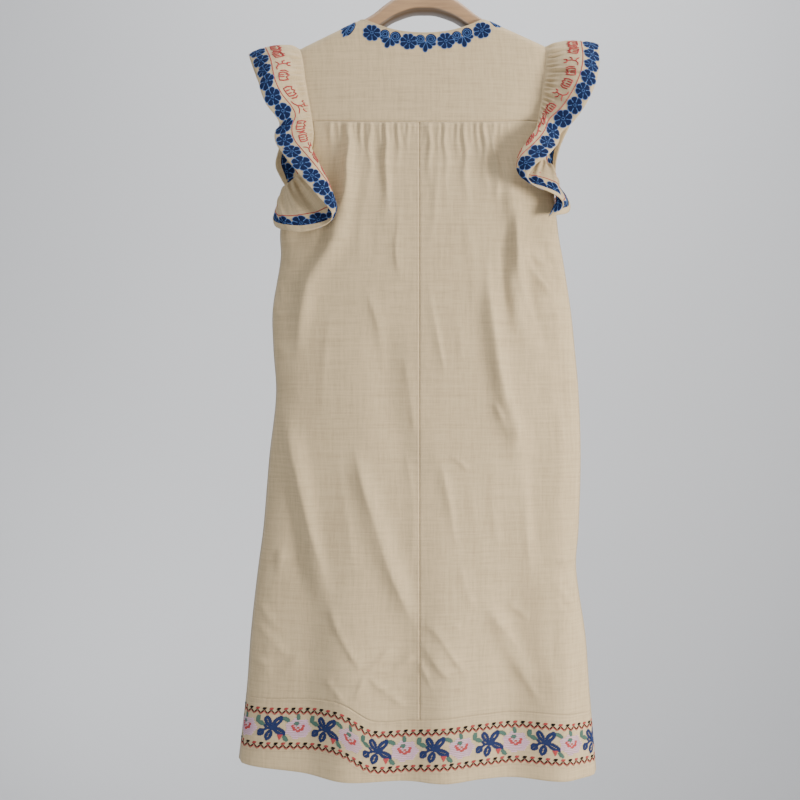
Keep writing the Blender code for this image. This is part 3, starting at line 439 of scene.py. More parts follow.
def smooth(keys, values, at, period=None):
    """Values at the given keys of a smooth curve through a table's rows."""
    keys, values = np.array(keys, float), np.array(values, float)
    if period is not None:
        keys = np.concatenate((keys[-2:] - period, keys, keys[:2] + period))
        values = np.concatenate((values[-2:], values, values[:2]))
    if keys[0] > keys[-1]:
        keys, values = keys[::-1], values[::-1]
    at = np.clip(at, keys[0], keys[-1])
    i = np.clip(np.searchsorted(keys, at) - 1, 0, len(keys) - 2)
    before, after = np.maximum(i - 1, 0), np.minimum(i + 2, len(keys) - 1)
    span = keys[i + 1] - keys[i]
    slope_in = (values[i + 1] - values[before]) / (keys[i + 1] - keys[before])
    slope_out = (values[after] - values[i]) / (keys[after] - keys[i])
    t = (at - keys[i]) / span
    return ((2 * t**3 - 3 * t**2 + 1) * values[i] + (t**3 - 2 * t**2 + t) * span * slope_in
            + (3 * t**2 - 2 * t**3) * values[i + 1] + (t**3 - t**2) * span * slope_out)


def column(rows, name):
    """One column of a table."""
    return [getattr(row, name) for row in rows]


def section(name, z):
    """A measure of the body's level section at a height."""
    return smooth(column(SECTIONS, "z"), column(SECTIONS, name), z)


def hem(name, x):
    """A measure of the band or hem at a place across the dress."""
    return smooth(column(HEM, "x"), column(HEM, name), x)


def fade(value):
    """Smooth step from 0 to 1."""
    value = np.clip(value, 0.0, 1.0)
    return value * value * (3 - 2 * value)


def shoulder_z(x):
    """Height of the shoulder line, carried on above the neck."""
    slope_left = (ARMHOLE_LEFT[0].z - NECK_POINT_Z) / (ARMHOLE_LEFT[0].x - NECK_LEFT)
    slope_right = (ARMHOLE_RIGHT[0].z - NECK_POINT_Z) / (ARMHOLE_RIGHT[0].x - NECK_RIGHT)
    return np.where(x < CENTRE_X, NECK_POINT_Z + (x - NECK_LEFT) * slope_left,
                    NECK_POINT_Z + (x - NECK_RIGHT) * slope_right)


def neck_z(x, lowest, power):
    """Height of a neckline whose lowest point is given."""
    reach = np.abs(x / np.where(x < 0, NECK_LEFT, NECK_RIGHT))
    return lowest + (NECK_POINT_Z - lowest) * reach**power


def top_z(x, lowest, power):
    """Top edge of a panel: the neckline between the neck points, else the shoulder line."""
    return np.where((x > NECK_LEFT) & (x < NECK_RIGHT), neck_z(x, lowest, power), shoulder_z(x))


def yoke_z(x):
    """Height of the yoke seam."""
    return YOKE_Z - YOKE_DIP * (1 - np.minimum(np.abs(x - CENTRE_X) / abs(ARMHOLE_LEFT[5].x), 1) ** 2)


def armhole_rows(left):
    """The armhole's table on one side."""
    return ARMHOLE_LEFT if left else ARMHOLE_RIGHT


def armhole_x(z, left, front):
    """Edge of the armhole at a height, from the shoulder tip to the underarm."""
    rows = armhole_rows(left)
    x = smooth(column(rows, "z"), column(rows, "x"), z)
    if front:
        share = np.clip((rows[0].z - z) / (rows[0].z - rows[-1].z), 0.0, 1.0)
        inward = FRONT_SCOOP * np.sin(math.pi * share) ** 0.8
        x = x + (inward if left else -inward)
    return x


def edge_x(z, left, front):
    """Outer edge of the body: the armhole above the underarm, the side seam below."""
    rows = armhole_rows(left)
    side = section("left" if left else "right", z)
    below = rows[-1].x + (side - rows[-1].x) * fade((rows[-1].z - z) / UNDERARM_EASE)
    return np.where(z >= rows[-1].z, armhole_x(z, left, front), below)


def side_reach(x, z):
    """0 at the centre back seam and 1 at the side seam."""
    reach = np.zeros(np.shape(x))
    for left in (True, False):
        rows = armhole_rows(left)
        side = np.where(z > rows[-1].z, section("left" if left else "right", z), edge_x(z, left, False))
        reach = np.where((x < CENTRE_X) == left, np.abs((x - CENTRE_X) / (side - CENTRE_X)), reach)
    return np.minimum(reach, 1.0)


def follow(x, z, path):
    """Distance of places from a path, with the side of it that they lie on, and the share along it."""
    path = np.array(path, float)
    lengths = np.linalg.norm(np.diff(path, axis=0), axis=1)
    whole, done = lengths.sum(), 0.0
    nearest, along = np.full(np.shape(x), 1.0), np.zeros(np.shape(x))
    for start, end, length in zip(path, path[1:], lengths):
        run = end - start
        share = np.clip(((x - start[0]) * run[0] + (z - start[1]) * run[1]) / length**2, 0.0, 1.0)
        off_x, off_z = x - start[0] - share * run[0], z - start[1] - share * run[1]
        gap = np.hypot(off_x, off_z)
        here = gap < np.abs(nearest)
        side = np.sign(run[0] * off_z - run[1] * off_x)
        nearest = np.where(here, gap * np.where(side == 0, 1.0, side), nearest)
        along = np.where(here, (done + share * length) / whole, along)
        done += length
    return nearest, along


def metres_along(points, axis=0):
    """Metres from the first point to each, along a row or one way of a grid of points."""
    steps = np.diff(points, axis=axis, prepend=np.take(points, [0], axis=axis))
    return np.cumsum(np.linalg.norm(steps, axis=-1), axis=axis)


def fold_height(x, z, folds):
    """Height that the large folds add at each place."""
    total = np.zeros(np.shape(x))
    for fold in folds:
        gap, along = follow(x, z, fold.path)
        ends = fade(along / FOLD_ENDS) * fade((1 - along) / FOLD_ENDS)
        total += fold.height * ends * np.exp(-(gap / fold.half_width) ** 2)
    return total


def rounded_path(path):
    """The path with its corners taken off, as a smooth curve."""
    keys = np.arange(len(path), dtype=float)
    steps = np.linspace(0, len(path) - 1, 5 * (len(path) - 1) + 1)
    return np.stack([smooth(keys, [place[axis] for place in path], steps) for axis in (0, 1)], axis=1)


def crease_height(x, z, creases):
    """Height that the creases add: each leans to one side and swells and thins along its length."""
    total = np.zeros(np.shape(x))
    for number, crease in enumerate(creases):
        places = np.array(crease.path)
        margin = CREASE_REACH * crease.half_width
        low, high = places.min(0) - margin, places.max(0) + margin
        near = (x > low[0]) & (x < high[0]) & (z > low[1]) & (z < high[1])
        if not near.any():
            continue
        gap, along = follow(x[near], z[near], rounded_path(crease.path))
        width = crease.half_width * (1 + crease.skew * np.sign(gap))
        width = width * (1 + CREASE_THINNING * np.sin(5 * along + number))
        swell = 1 + CREASE_SWELL * np.sin(9 * along + 2.1 * number)
        ends = fade(along / CREASE_ENDS) * fade((1 - along) / CREASE_ENDS)
        total[near] += CREASE_LIFT * crease.height * ends * swell * np.exp(-np.abs(gap / width) ** 1.5)
    return total


def gather_height(x, z):
    """Height that the gathers under the yoke add."""
    below = yoke_z(x) - z
    total = np.zeros(np.shape(x))
    for gather in GATHERS:
        drift = (gather.x - CENTRE_X) * below * GATHER_DRIFT
        width = gather.half * (1 + GATHER_WIDENING * np.clip(below, 0, gather.length))
        sway = GATHER_SWAY * np.sin(95 * below + 700 * gather.x) * np.clip(below / SWAY_START, 0, 1)
        crest = np.exp(-((x - gather.x - drift - sway) / width) ** 2)
        rise = GATHER_LIFT * gather.height * crest * fade(below / GATHER_START)
        total += rise * (1 - fade(below / gather.length))
    return total


def body_surface(x, z, front):
    """Places of the body's outer surface: the solid's own form, then the creases along its normal."""
    x, z = np.asarray(x, float), np.asarray(z, float)
    strength = bpy.context.scene.dress.crease_strength
    reach = side_reach(x, z)
    round_in = (1 - reach**SIDE_ROUNDNESS) ** (1 / SIDE_ROUNDNESS)
    over = np.clip((shoulder_z(x) - z) / SHOULDER_ROUND, 0.0, 1.0)
    shape = round_in * np.sqrt(1 - (1 - over) ** 2)
    flat = 1 - reach**SIDE_FLATNESS
    wave = hem("wave", x) * fade((WAVE_START - z) / (WAVE_START - HEM[0].band_top)) * flat
    if front:
        y = section("front", z) * shape + fold_height(x, z, FRONT_FOLDS) * flat - FRONT_WAVE * wave + HALF_GAP
        rise = crease_height(x, z, FRONT_CREASES) * strength
    else:
        below = yoke_z(x) - z
        panel = np.where(below > 0, 1.0, 0.0)
        folds = fold_height(x, z, BACK_FOLDS) + panel * gather_height(x, z)
        y = -section("back", z) * shape - folds * flat + wave - HALF_GAP
        rise = crease_height(x, z, BACK_CREASES) * strength * fade(below / YOKE_EASE)
        seam = panel * np.exp(-((x - CENTRE_X) / CENTRE_SEAM_HALF) ** 2)
        above_band = fade((z - hem("band_top", x)) / BAND_EASE)
        pucker = panel * np.exp(-((x - CENTRE_X) / PUCKER_HALF) ** 2)
        ripple = np.sin(520 * z + 2 * np.sin(60 * z))
        rise = rise - CENTRE_SEAM_DEPTH * seam * above_band + PUCKER_HEIGHT * pucker * ripple
    rise = rise * fade((1 - reach) / SIDE_EASE)
    lean = reach**SIDE_LEAN * np.sign(x - CENTRE_X)
    out = 1.0 if front else -1.0
    return np.stack((x + lean * rise, y + out * np.sqrt(1 - lean**2) * rise, z), axis=-1)


def closed_normals(points):
    """Unit normals of a grid whose last column lies on its first."""
    normals = grid_normals(points[:, :-1], True)
    return np.concatenate((normals, normals[:, :1]), axis=1)


def unit(vectors):
    """The vectors at a length of 1."""
    return vectors / np.linalg.norm(vectors, axis=-1, keepdims=True)


def body_places(x, z, front):
    """Places and outward normals of the body's surface."""
    here = body_surface(x, z, front)
    right = body_surface(x + PROBE, z, front) - body_surface(x - PROBE, z, front)
    up = body_surface(x, z + PROBE, front) - body_surface(x, z - PROBE, front)
    normals = unit(np.cross(right, up))
    return here, -normals if front else normals


def grid_normals(points, wrap):
    """Unit normals of a grid of points, by its own neighbours."""
    down = np.gradient(points, axis=0)
    if wrap:
        along = (np.roll(points, -1, axis=1) - np.roll(points, 1, axis=1)) / 2
    else:
        along = np.gradient(points, axis=1)
    return unit(np.cross(down, along))


def flat_grid(points, first_column=0):
    """Flat coordinates of a hanging panel: metres across from one column, and metres down."""
    across = metres_along(points[..., :2], 1)
    return np.stack((across - across[:, first_column:first_column + 1], -points[..., 2]), axis=2)


def turned_under(grid, side, steps):
    """Turns the grid's edge under at one side, in steps of (rows back, depth, outward)."""
    across, flipped = side in ("first", "last"), side in ("top", "first")
    grids = [g.swapaxes(0, 1) if across else g for g in grid]
    points, normals, flat = [g[::-1] if flipped else g for g in grids]
    out = unit(points[-1] - points[-2])
    run = (flat[-1] - flat[-2]) / np.linalg.norm(flat[-1] - flat[-2], axis=1, keepdims=True)
    new = [[], [], []]
    before, length = points[-1], 0.0
    for back, depth, outward in steps:
        here = points[-1 - back] - depth * normals[-1 - back] + outward * out
        length = length + np.linalg.norm(here - before, axis=1, keepdims=True)
        for store, value in zip(new, (here, normals[-1 - back], flat[-1] + run * length)):
            store.append(value)
        before = here
    grown = [np.concatenate((g, np.array(extra))) for g, extra in zip((points, normals, flat), new)]
    grown = [g[::-1] if flipped else g for g in grown]
    return [g.swapaxes(0, 1) if across else g for g in grown]


def hem_steps(width, spacing):
    """A hem folded to the inside, as wide as given."""
    thick = bpy.context.scene.dress.hem_thickness
    fold = ((0, 0.3 * thick, 0.0004), (0, 0.8 * thick, 0.0002))
    return fold + tuple((back, thick, 0.0) for back in range(1, int(round(width / spacing)) + 1))


def add_object(name, data):
    """Puts an object made of the data into the scene."""
    made = bpy.data.objects.new(name, data)
    bpy.context.scene.collection.objects.link(made)
    return made


def grid_object(name, grid, material):
    """One mesh from a grid of cloth, its faces turned to the grid's normals."""
    points, normals, flat = grid
    rows, columns = points.shape[:2]
    index = np.arange(rows * columns).reshape(rows, columns)
    quads = np.stack((index[:-1, :-1], index[1:, :-1], index[1:, 1:], index[:-1, 1:]), axis=2).reshape(-1, 4)
    middle = rows // 2
    down = points[middle + 1, 1:] - points[middle, 1:]
    along = points[middle, 1:] - points[middle, :-1]
    if (np.cross(down, along) * normals[middle, 1:]).sum() < 0:
        quads = quads[:, ::-1]
    return mesh_object(name, points.reshape(-1, 3), quads, flat.reshape(-1, 2), material)


def mesh_object(name, vertices, faces, flat, material):
    """A smooth-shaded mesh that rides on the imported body."""
    data = bpy.data.meshes.new(name)
    data.from_pydata(vertices.tolist(), [], faces.tolist())
    layer = data.uv_layers.new(name="flat")
    corners = np.empty(len(data.loops), dtype=np.int32)
    data.loops.foreach_get("vertex_index", corners)
    layer.data.foreach_set("uv", np.asarray(flat, dtype=np.float32)[corners].ravel())
    data.shade_smooth()
    data.materials.append(material)
    made = add_object(name, data)
    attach(made, "root")
    return made


def back_grid(left):
    """Back panel: centre back seam to side seam, yoke seam to band seam."""
    spacing = bpy.context.scene.dress.cloth_grid
    share = np.linspace(0, 1, int(BACK_WIDTH / spacing))[None, :]
    part = np.linspace(0, 1, int(BACK_LENGTH / spacing))[:, None] ** BACK_ROW_POWER
    inner = CENTRE_X + (-HALF_GAP if left else HALF_GAP)
    top_edge = armhole_x(YOKE_Z, left, False)
    bottom_edge = edge_x(HEM[0].band_top, left, False)
    x_top = inner + (top_edge - inner) * share
    start = yoke_z(x_top) - HALF_GAP
    end = hem("band_top", inner + (bottom_edge - inner) * share) + HALF_GAP
    z = start + (end - start) * part
    x = x_top + (edge_x(z, left, False) - top_edge) * share**4
    return x, z


def front_grid():
    """Front in one piece, with its scooped neckline."""
    spacing = bpy.context.scene.dress.front_grid
    across = np.linspace(-1, 1, int(FRONT_WIDTH / spacing) | 1)[None, :]
    part = np.linspace(0, 1, int(FRONT_LENGTH / spacing))[:, None] ** FRONT_ROW_POWER
    left = across < 0
    out = np.abs(across)
    neck = np.where(left, NECK_LEFT, NECK_RIGHT)
    tip = np.where(left, ARMHOLE_LEFT[0].x, ARMHOLE_RIGHT[0].x)
    inside = out < NECK_SHARE
    to_neck = CENTRE_X + (neck - CENTRE_X) * out / NECK_SHARE
    to_tip = neck + (tip - neck) * (out - NECK_SHARE) / (1 - NECK_SHARE)
    x_top = np.where(inside, to_neck, to_tip)
    start = np.where(inside, neck_z(x_top, FRONT_NECK_Z, FRONT_NECK_POWER), shoulder_z(x_top))
    x_end = np.where(left, edge_x(HEM[0].band_top, True, True), edge_x(HEM[0].band_top, False, True))
    end = hem("band_top", CENTRE_X + (x_end - CENTRE_X) * out) + HALF_GAP
    z = start + (end - start) * part
    edge = np.where(left, edge_x(z, True, True), edge_x(z, False, True))
    return x_top + (edge - tip) * out**4, z


def yoke_grid():
    """Yoke across the shoulders, from neckline and shoulder seams down to the yoke seam."""
    tip_left, tip_right = ARMHOLE_LEFT[0].x, ARMHOLE_RIGHT[0].x
    stops = (tip_left, NECK_LEFT, 0.0, NECK_RIGHT, tip_right)
    runs = [np.linspace(a, b, count, endpoint=False) for a, b, count in zip(stops, stops[1:], YOKE_COLUMNS)]
    x_top = np.concatenate(runs + [[tip_right]])[None, :]
    across = (x_top - tip_left) / (tip_right - tip_left)
    start = top_z(x_top, BACK_NECK_Z, BACK_NECK_POWER)
    part = np.linspace(0, 1, YOKE_ROWS)[:, None] ** YOKE_ROW_POWER
    z = start + (yoke_z(x_top) + HALF_GAP - start) * part
    left, right = armhole_x(z, True, False), armhole_x(z, False, False)
    return left + (right - left) * across, z


def band_grid(seam_x, seam_z, front):
    """Border band that hangs from the bottom edge of the body's panels."""
    part = np.linspace(0, 1, 30)[:, None]
    left = seam_x < CENTRE_X
    edge = np.where(left, edge_x(seam_z, True, front), edge_x(seam_z, False, front))
    out = ((seam_x - CENTRE_X) / (edge - CENTRE_X))[None, :]
    top = seam_z - SEAM_GAP
    z = top + (hem("hem", seam_x) - top) * part
    edge = np.where(left[None, :], edge_x(z, True, front), edge_x(z, False, front))
    return CENTRE_X + (edge - CENTRE_X) * out, z


def cloth_grid(places, front):
    """Points, normals and flat coordinates of a panel over its (x, z) places."""
    x, z = places
    points = body_surface(x, z, front)
    normals = grid_normals(points, False)
    if (normals[..., 1].mean() > 0) != front:
        normals = -normals
    return [points, normals, flat_grid(points, x.shape[1] // 2 if x.min() < CENTRE_X < x.max() else 0)]


def sleeve_grid(left):
    """A gathered strip sewn round the armhole: its places from the seam out to its edge."""
    size = bpy.context.scene.dress
    count = RUFFLE_GATHERS * size.columns_per_gather
    turn = np.arange(count + 1) / count
    arm = armhole_rows(left)
    steps = [math.dist(a, b) for a, b in zip(arm, arm[1:])]
    reached = np.concatenate(([0.0], np.cumsum(steps))) / sum(steps)
    seam, lift = np.empty((count + 1, 3)), np.empty((count + 1, 3))
    for front in (False, True):
        here = (turn > 0.5) == front
        share = 2 * (1 - turn[here]) if front else 2 * turn[here]
        z = np.interp(share, reached, column(arm, "z"))
        place, normal = body_places(armhole_x(z, left, front), z, front)
        seam[here] = place + RUFFLE_CLEARANCE * normal
        outward = np.array((-1.0 if left else 1.0, 0.0, 0.0))
        lift[here] = unit(normal + 2 * fade((share - UNDERARM_SHARE) / UNDERARM_RUN)[:, None] * outward)
    rows = RUFFLE_LEFT if left else RUFFLE_RIGHT
    turns = column(rows, "turn")
    edge, bow = (np.stack([smooth(turns, column(rows, axis), turn % 1.0, 1.0) for axis in axes], axis=1)
                 for axes in (("x", "y", "z"), ("bow_x", "bow_y", "bow_z")))
    near = seam + NEAR_SHARE * (edge - seam) + STAND_OFF * lift
    far = seam + FAR_SHARE * (edge - seam) + BOW_REACH * bow
    part = (np.linspace(0, 1, size.ruffle_rows) ** RUFFLE_ROW_POWER)[:, None, None]
    rest = 1 - part
    points = rest**3 * seam + 3 * rest**2 * part * near + 3 * rest * part**2 * far + part**3 * edge
    number = np.arange(RUFFLE_GATHERS + 1)
    sizes = [RUFFLE_GATHER_SIZES[n % RUFFLE_GATHERS % len(RUFFLE_GATHER_SIZES)] for n in number]
    phase = turn * RUFFLE_GATHERS
    depth, reach, shift = (np.interp(phase, number, values) for values in np.transpose(sizes))
    out = part[..., 0] / (RUFFLE_GATHER_REACH * reach[None, :])
    wave = np.cos(2 * math.pi * (phase + shift))[None, :]
    rise = depth * out**2 * np.exp(1 - out**2) * wave
    for fold in RUFFLE_FOLDS:
        ridge = fold.depth * np.exp(-((turn - fold.turn) / fold.half) ** 2)
        rise = rise + ridge[None, :] * np.sin(math.pi * part[..., 0] ** RIDGE_POWER) ** 2
    points = points + closed_normals(points) * rise[..., None]
    normals = closed_normals(points) * (1.0 if left else -1.0)
    down = metres_along(points)
    flat = np.stack((np.broadcast_to(metres_along(points[-1]), down.shape), down), axis=2)
    return [points, normals, flat]


class Value:
    """A socket of a node tree; sums and products of it are made as math nodes."""

    def __init__(self, tree, socket):
        self.tree, self.socket = tree, socket

    def calculate(self, operation, other=None):
        node = self.tree.nodes.new("ShaderNodeMath")
        node.operation = operation
        self.tree.links.new(self.socket, node.inputs[0])
        if isinstance(other, Value):
            self.tree.links.new(other.socket, node.inputs[1])
        elif other is not None:
            node.inputs[1].default_value = other
        return Value(self.tree, node.outputs[0])

    def __add__(self, other):
        return self.calculate("ADD", other)

    def __mul__(self, other):
        return self.calculate("MULTIPLY", other)

    def sine(self):
        return self.calculate("SINE")

    def parts(self):
        """The numbers in a vector."""
        split = self.tree.nodes.new("ShaderNodeSeparateXYZ")
        self.tree.links.new(self.socket, split.inputs[0])
        return [Value(self.tree, socket) for socket in split.outputs]


def put_out(group, values):
    """Links values to the group's named outputs."""
    out = group.nodes.new("NodeGroupOutput")
    for label, value in values.items():
        group.links.new(value.socket, out.inputs[label])
    return group


def blend(share, first, second, kind="MIX"):
    """A colour between two others, each a Value or four numbers."""
    mix = share.tree.nodes.new("ShaderNodeMix")
    mix.data_type = "RGBA"
    mix.blend_type = kind
    mix.clamp_factor = True
    share.tree.links.new(share.socket, mix.inputs[0])
    for socket, colour in ((mix.inputs[6], first), (mix.inputs[7], second)):
        if isinstance(colour, Value):
            share.tree.links.new(colour.socket, socket)
        else:
            socket.default_value = colour
    return Value(share.tree, mix.outputs[2])


def new_group(name, inputs, outputs=("Colour", "Height", "Roughness")):
    """An empty shader node group; an input's kind follows from its default, None for a vector."""
    group = bpy.data.node_groups.new(name, "ShaderNodeTree")
    for label, value in inputs.items():
        kind = "Vector" if value is None else "Color" if isinstance(value, tuple) else "Float"
        socket = group.interface.new_socket(name=label, in_out="INPUT", socket_type="NodeSocket" + kind)
        if value is not None:
            socket.default_value = value
    for label in outputs:
        kind = "Color" if label == "Colour" else "Float"
        group.interface.new_socket(name=label, in_out="OUTPUT", socket_type="NodeSocket" + kind)
    given = group.nodes.new("NodeGroupInput")
    return group, {label: Value(group, given.outputs[label]) for label in inputs}


def streaks(vector, scale, detail):
    """Noise drawn out along one way of a surface, about 0."""
    tree = vector.tree
    stretch = tree.nodes.new("ShaderNodeVectorMath")
    stretch.operation = "MULTIPLY"
    tree.links.new(vector.socket, stretch.inputs[0])
    stretch.inputs[1].default_value = scale
    noise = tree.nodes.new("ShaderNodeTexNoise")
    noise.inputs["Scale"].default_value = 1.0
    noise.inputs["Detail"].default_value = detail
    tree.links.new(stretch.outputs[0], noise.inputs["Vector"])
    return Value(tree, noise.outputs["Fac"]) + -0.5


def linen_group():
    """Slubby plain weave over flat coordinates in metres."""
    group, given = new_group("Linen weave", {
        "Flat": None, "Cloth": (0.7, 0.6, 0.5, 1.0), "Thread shadow": (0.5, 0.4, 0.3, 1.0),
        "Threads a metre": 1100.0, "Slub": 1.0})
    flat = given["Flat"]
    angle = given["Threads a metre"] * (2 * math.pi)
    wobble = streaks(flat, (90.0, 90.0, 1.0), 1.0)
    across, down = ((part * angle + wobble * 5.0).sine() for part in flat.parts()[:2])
    weave = across * down
    warp = streaks(flat, (260.0, 14.0, 1.0), 3.0) + streaks(flat, (1100.0, 60.0, 1.0), 1.0) * 0.8
    weft = streaks(flat, (12.0, 300.0, 1.0), 3.0) + streaks(flat, (45.0, 1200.0, 1.0), 1.0) * 0.8
    patch = streaks(flat, (9.0, 6.0, 1.0), 3.0)
    slub = (warp + weft) * given["Slub"]
    dark = slub * 1.1 + (patch * 0.5 + weave * 0.10)
    return put_out(group, {
        "Colour": blend(dark + 0.28, given["Cloth"], given["Thread shadow"]),
        "Height": weave * 0.35 + slub * -0.8 + 0.5,
        "Roughness": slub * 0.2 + 0.78})


def thread_group():
    """Twisted embroidery thread over (along, around) coordinates in metres, with painted shade in the hollows
    between its plies and its own uneven tone in patches.
    """
    group, given = new_group("Embroidery thread", {
        "Flat": None, "Thread": (0.1, 0.1, 0.5, 1.0), "Hollow": (0.02, 0.02, 0.1, 1.0),
        "Plies a metre": 1400.0}, ("Colour", "Height"))
    along, around = given["Flat"].parts()[:2]
    ply = ((along + around) * given["Plies a metre"] * (2 * math.pi)).sine() * 0.5 + 0.5
    # Painted shade: the colour darkens in the hollows between plies; the streaks add the thread's own uneven
    # tone.
    shade = ply * -0.45 + streaks(given["Flat"], (260.0, 60.0, 1.0), 2.0)
    return put_out(group, {"Colour": blend(shade + 0.5, given["Thread"], given["Hollow"]), "Height": ply})


def wood_group():
    """Long wood grain over object coordinates in metres, with painted shade darkening it where the wood faces
    down.
    """
    group, given = new_group("Wood grain", {
        "Place": None, "Pale": (0.5, 0.3, 0.15, 1.0), "Dark": (0.3, 0.15, 0.07, 1.0),
        "Raw": (0.1, 0.06, 0.03, 1.0)})
    broad = streaks(given["Place"], (14.0, 160.0, 220.0), 3.0)
    fine = streaks(given["Place"], (60.0, 900.0, 1300.0), 2.0)
    grain = broad * 1.4 + fine * 0.8
    # Painted shade: where the surface faces down, the colour goes over to the darkest wood tone.
    surface = group.nodes.new("ShaderNodeNewGeometry")
    facing_up = Value(group, surface.outputs["Normal"]).parts()[2]
    wood = blend(grain + 0.45, given["Pale"], given["Dark"])
    return put_out(group, {
        "Colour": blend((facing_up + 0.25) * -5.0, wood, given["Raw"]),
        "Height": grain,
        "Roughness": grain * 0.2 + 0.38})


def steel_group():
    """Drawn wire with faint lengthwise scratches."""
    group, given = new_group("Drawn steel", {"Place": None, "Steel": (0.6, 0.6, 0.6, 1.0)})
    scratch = streaks(given["Place"], (500.0, 500.0, 90.0), 3.0)
    return put_out(group, {
        "Colour": blend(scratch + 0.3, given["Steel"], (0.75, 0.75, 0.75, 1.0), "MULTIPLY"),
        "Height": scratch,
        "Roughness": scratch * 0.5 + 0.3})


def group_material(name, group_name, make_group, colours, bump, relief, settings):
    """A material whose colour, height and roughness come from a node group that is built once."""
    made = bpy.data.materials.new(name)
    made.use_nodes = True
    tree = made.node_tree
    shader = tree.nodes["Principled BSDF"]
    effect = tree.nodes.new("ShaderNodeGroup")
    effect.node_tree = bpy.data.node_groups.get(group_name) or make_group()
    if "Flat" in effect.inputs:
        source = tree.nodes.new("ShaderNodeUVMap")
        source.uv_map = "flat"
        place = source.outputs["UV"]
    else:
        place = tree.nodes.new("ShaderNodeTexCoord").outputs["Object"]
    tree.links.new(place, effect.inputs[0])
    for label, value in colours.items():
        effect.inputs[label].default_value = value
    tree.links.new(effect.outputs["Colour"], shader.inputs["Base Color"])
    if "Roughness" in effect.outputs:
        tree.links.new(effect.outputs["Roughness"], shader.inputs["Roughness"])
    bumps = tree.nodes.new("ShaderNodeBump")
    bumps.inputs["Strength"].default_value = bump
    bumps.inputs["Distance"].default_value = relief
    tree.links.new(effect.outputs["Height"], bumps.inputs["Height"])
    tree.links.new(bumps.outputs["Normal"], shader.inputs["Normal"])
    for label, value in settings.items():
        shader.inputs[label].default_value = value
    return made


def darker(colour, share=1.0):
    """A colour of four numbers, its light cut to a share."""
    return tuple(value * share for value in colour[:3]) + (1.0,)


def linen(name, tint):
    """Cloth material of the dress."""
    return bpy.data.materials.get(name) or group_material(
        name, "Linen weave", linen_group, {"Cloth": darker(tint), "Thread shadow": darker(tint, 0.70)},
        0.35, 0.0004, {"Sheen Weight": 0.06, "Sheen Roughness": 0.5, "IOR": 1.35})


def thread(name, tint):
    """Embroidery thread material."""
    return bpy.data.materials.get(name) or group_material(
        name, "Embroidery thread", thread_group, {"Thread": darker(tint), "Hollow": darker(tint, 0.45)},
        0.5, 0.0002, {"Roughness": 0.8, "Specular IOR Level": 0.12})


class Stitches:
    """Raised threads, gathered up by colour and made as one mesh each."""

    def __init__(self):
        self.colours = {}

    def keep(self, colour, points, faces, flat):
        """Adds points and faces to a colour's lists."""
        store = self.colours.setdefault(colour, {"points": [], "faces": [], "flat": [], "count": 0})
        store["points"].append(points)
        store["faces"].append(faces + store["count"])
        store["flat"].append(flat)
        store["count"] += len(points)

    def run(self, colour, places, normals, width, height, closed=False):
        """One thread along places on the cloth: a low ridge with three sides."""
        if closed:
            run = np.roll(places, -1, axis=0) - np.roll(places, 1, axis=0)
        else:
            run = np.gradient(places, axis=0)
        aside = unit(np.cross(normals, run) + 1e-12)
        count = len(places)
        half = width / 2
        if not closed and count > 2:
            half = half * np.where(np.arange(count) % (count - 1) == 0, END_TAPER, 1.0)[:, None]
        low = places - SINK * normals
        ring = np.stack((low + half * aside, places + height * normals, low - half * aside), axis=1)
        around = np.array((0.0, 0.5, 1.0)) * width
        flat = np.stack(np.broadcast_arrays(metres_along(places)[:, None], around), axis=2)
        first = np.arange(count if closed else count - 1)
        second = (first + 1) % count
        faces = [np.stack((3 * first + a, 3 * second + a, 3 * second + b, 3 * first + b), axis=1)
                 for a, b in ((0, 1), (1, 2), (2, 0))]
        self.keep(colour, ring.reshape(-1, 3), np.concatenate(faces), flat.reshape(-1, 2))

    def fill(self, colour, places, normals, flat):
        """A patch of satin stitches: a low, flat-topped pad from rings of places."""
        rings = len(PAD_RINGS)
        count = len(places) // rings
        height = np.repeat((-SINK,) + (PAD_HEIGHT,) * (rings - 1), count)
        first = np.arange(count * (rings - 1))
        second = first - first % count + (first + 1) % count
        sides = np.stack((first, second, second + count, first + count), axis=1)
        low = count * (rings - 1) + np.arange(count // 2 - 1)
        high = count * (2 * rings - 1) - 1 - low
        cap = np.stack((low, low + 1, high - 1, high), axis=1)
        self.keep(colour, places + height[:, None] * normals, np.concatenate((sides, cap)), flat)

    def make(self, name):
        """Makes a mesh of each colour's threads."""
        settings = bpy.context.scene.dress
        for colour, store in self.colours.items():
            points, faces, flat = (np.concatenate(store[part]) for part in ("points", "faces", "flat"))
            material = thread("thread_" + colour, getattr(settings, colour + "_colour"))
            mesh_object(f"{name}_{colour}", points, faces, flat, material)


class Strip:
    """Places on a strip of cloth, by metres along its edge and metres in from it."""

    def __init__(self, grid, from_bottom=False, closed=False, face=1.0):
        points, normals = (g[::-1] if from_bottom else g for g in grid[:2])
        self.points, self.normals, self.closed = points, face * normals, closed
        self.along, self.inward = metres_along(points[0]), metres_along(points)
        self.length = self.along[-1]

    def at(self, along, inward):
        """Places and normals on the strip's face."""
        if self.closed:
            along = along % self.length
        rows, columns = self.points.shape[:2]
        across = np.interp(along, self.along, np.arange(columns))
        left = np.minimum(across.astype(int), columns - 2)
        share = across - left
        depth = (1 - share) * self.inward[:, left] + share * self.inward[:, left + 1]
        top = np.clip((depth <= inward).sum(axis=0) - 1, 0, rows - 2)
        each = np.arange(len(top))
        drop = ((inward - depth[top, each]) / (depth[top + 1, each] - depth[top, each]))[:, None]
        share = share[:, None]
        found = []
        for grid in (self.points, self.normals):
            upper = (1 - share) * grid[top, left] + share * grid[top, left + 1]
            lower = (1 - share) * grid[top + 1, left] + share * grid[top + 1, left + 1]
            found.append((1 - drop) * upper + drop * lower)
        return found[0] + LIFT * found[1], unit(found[1])


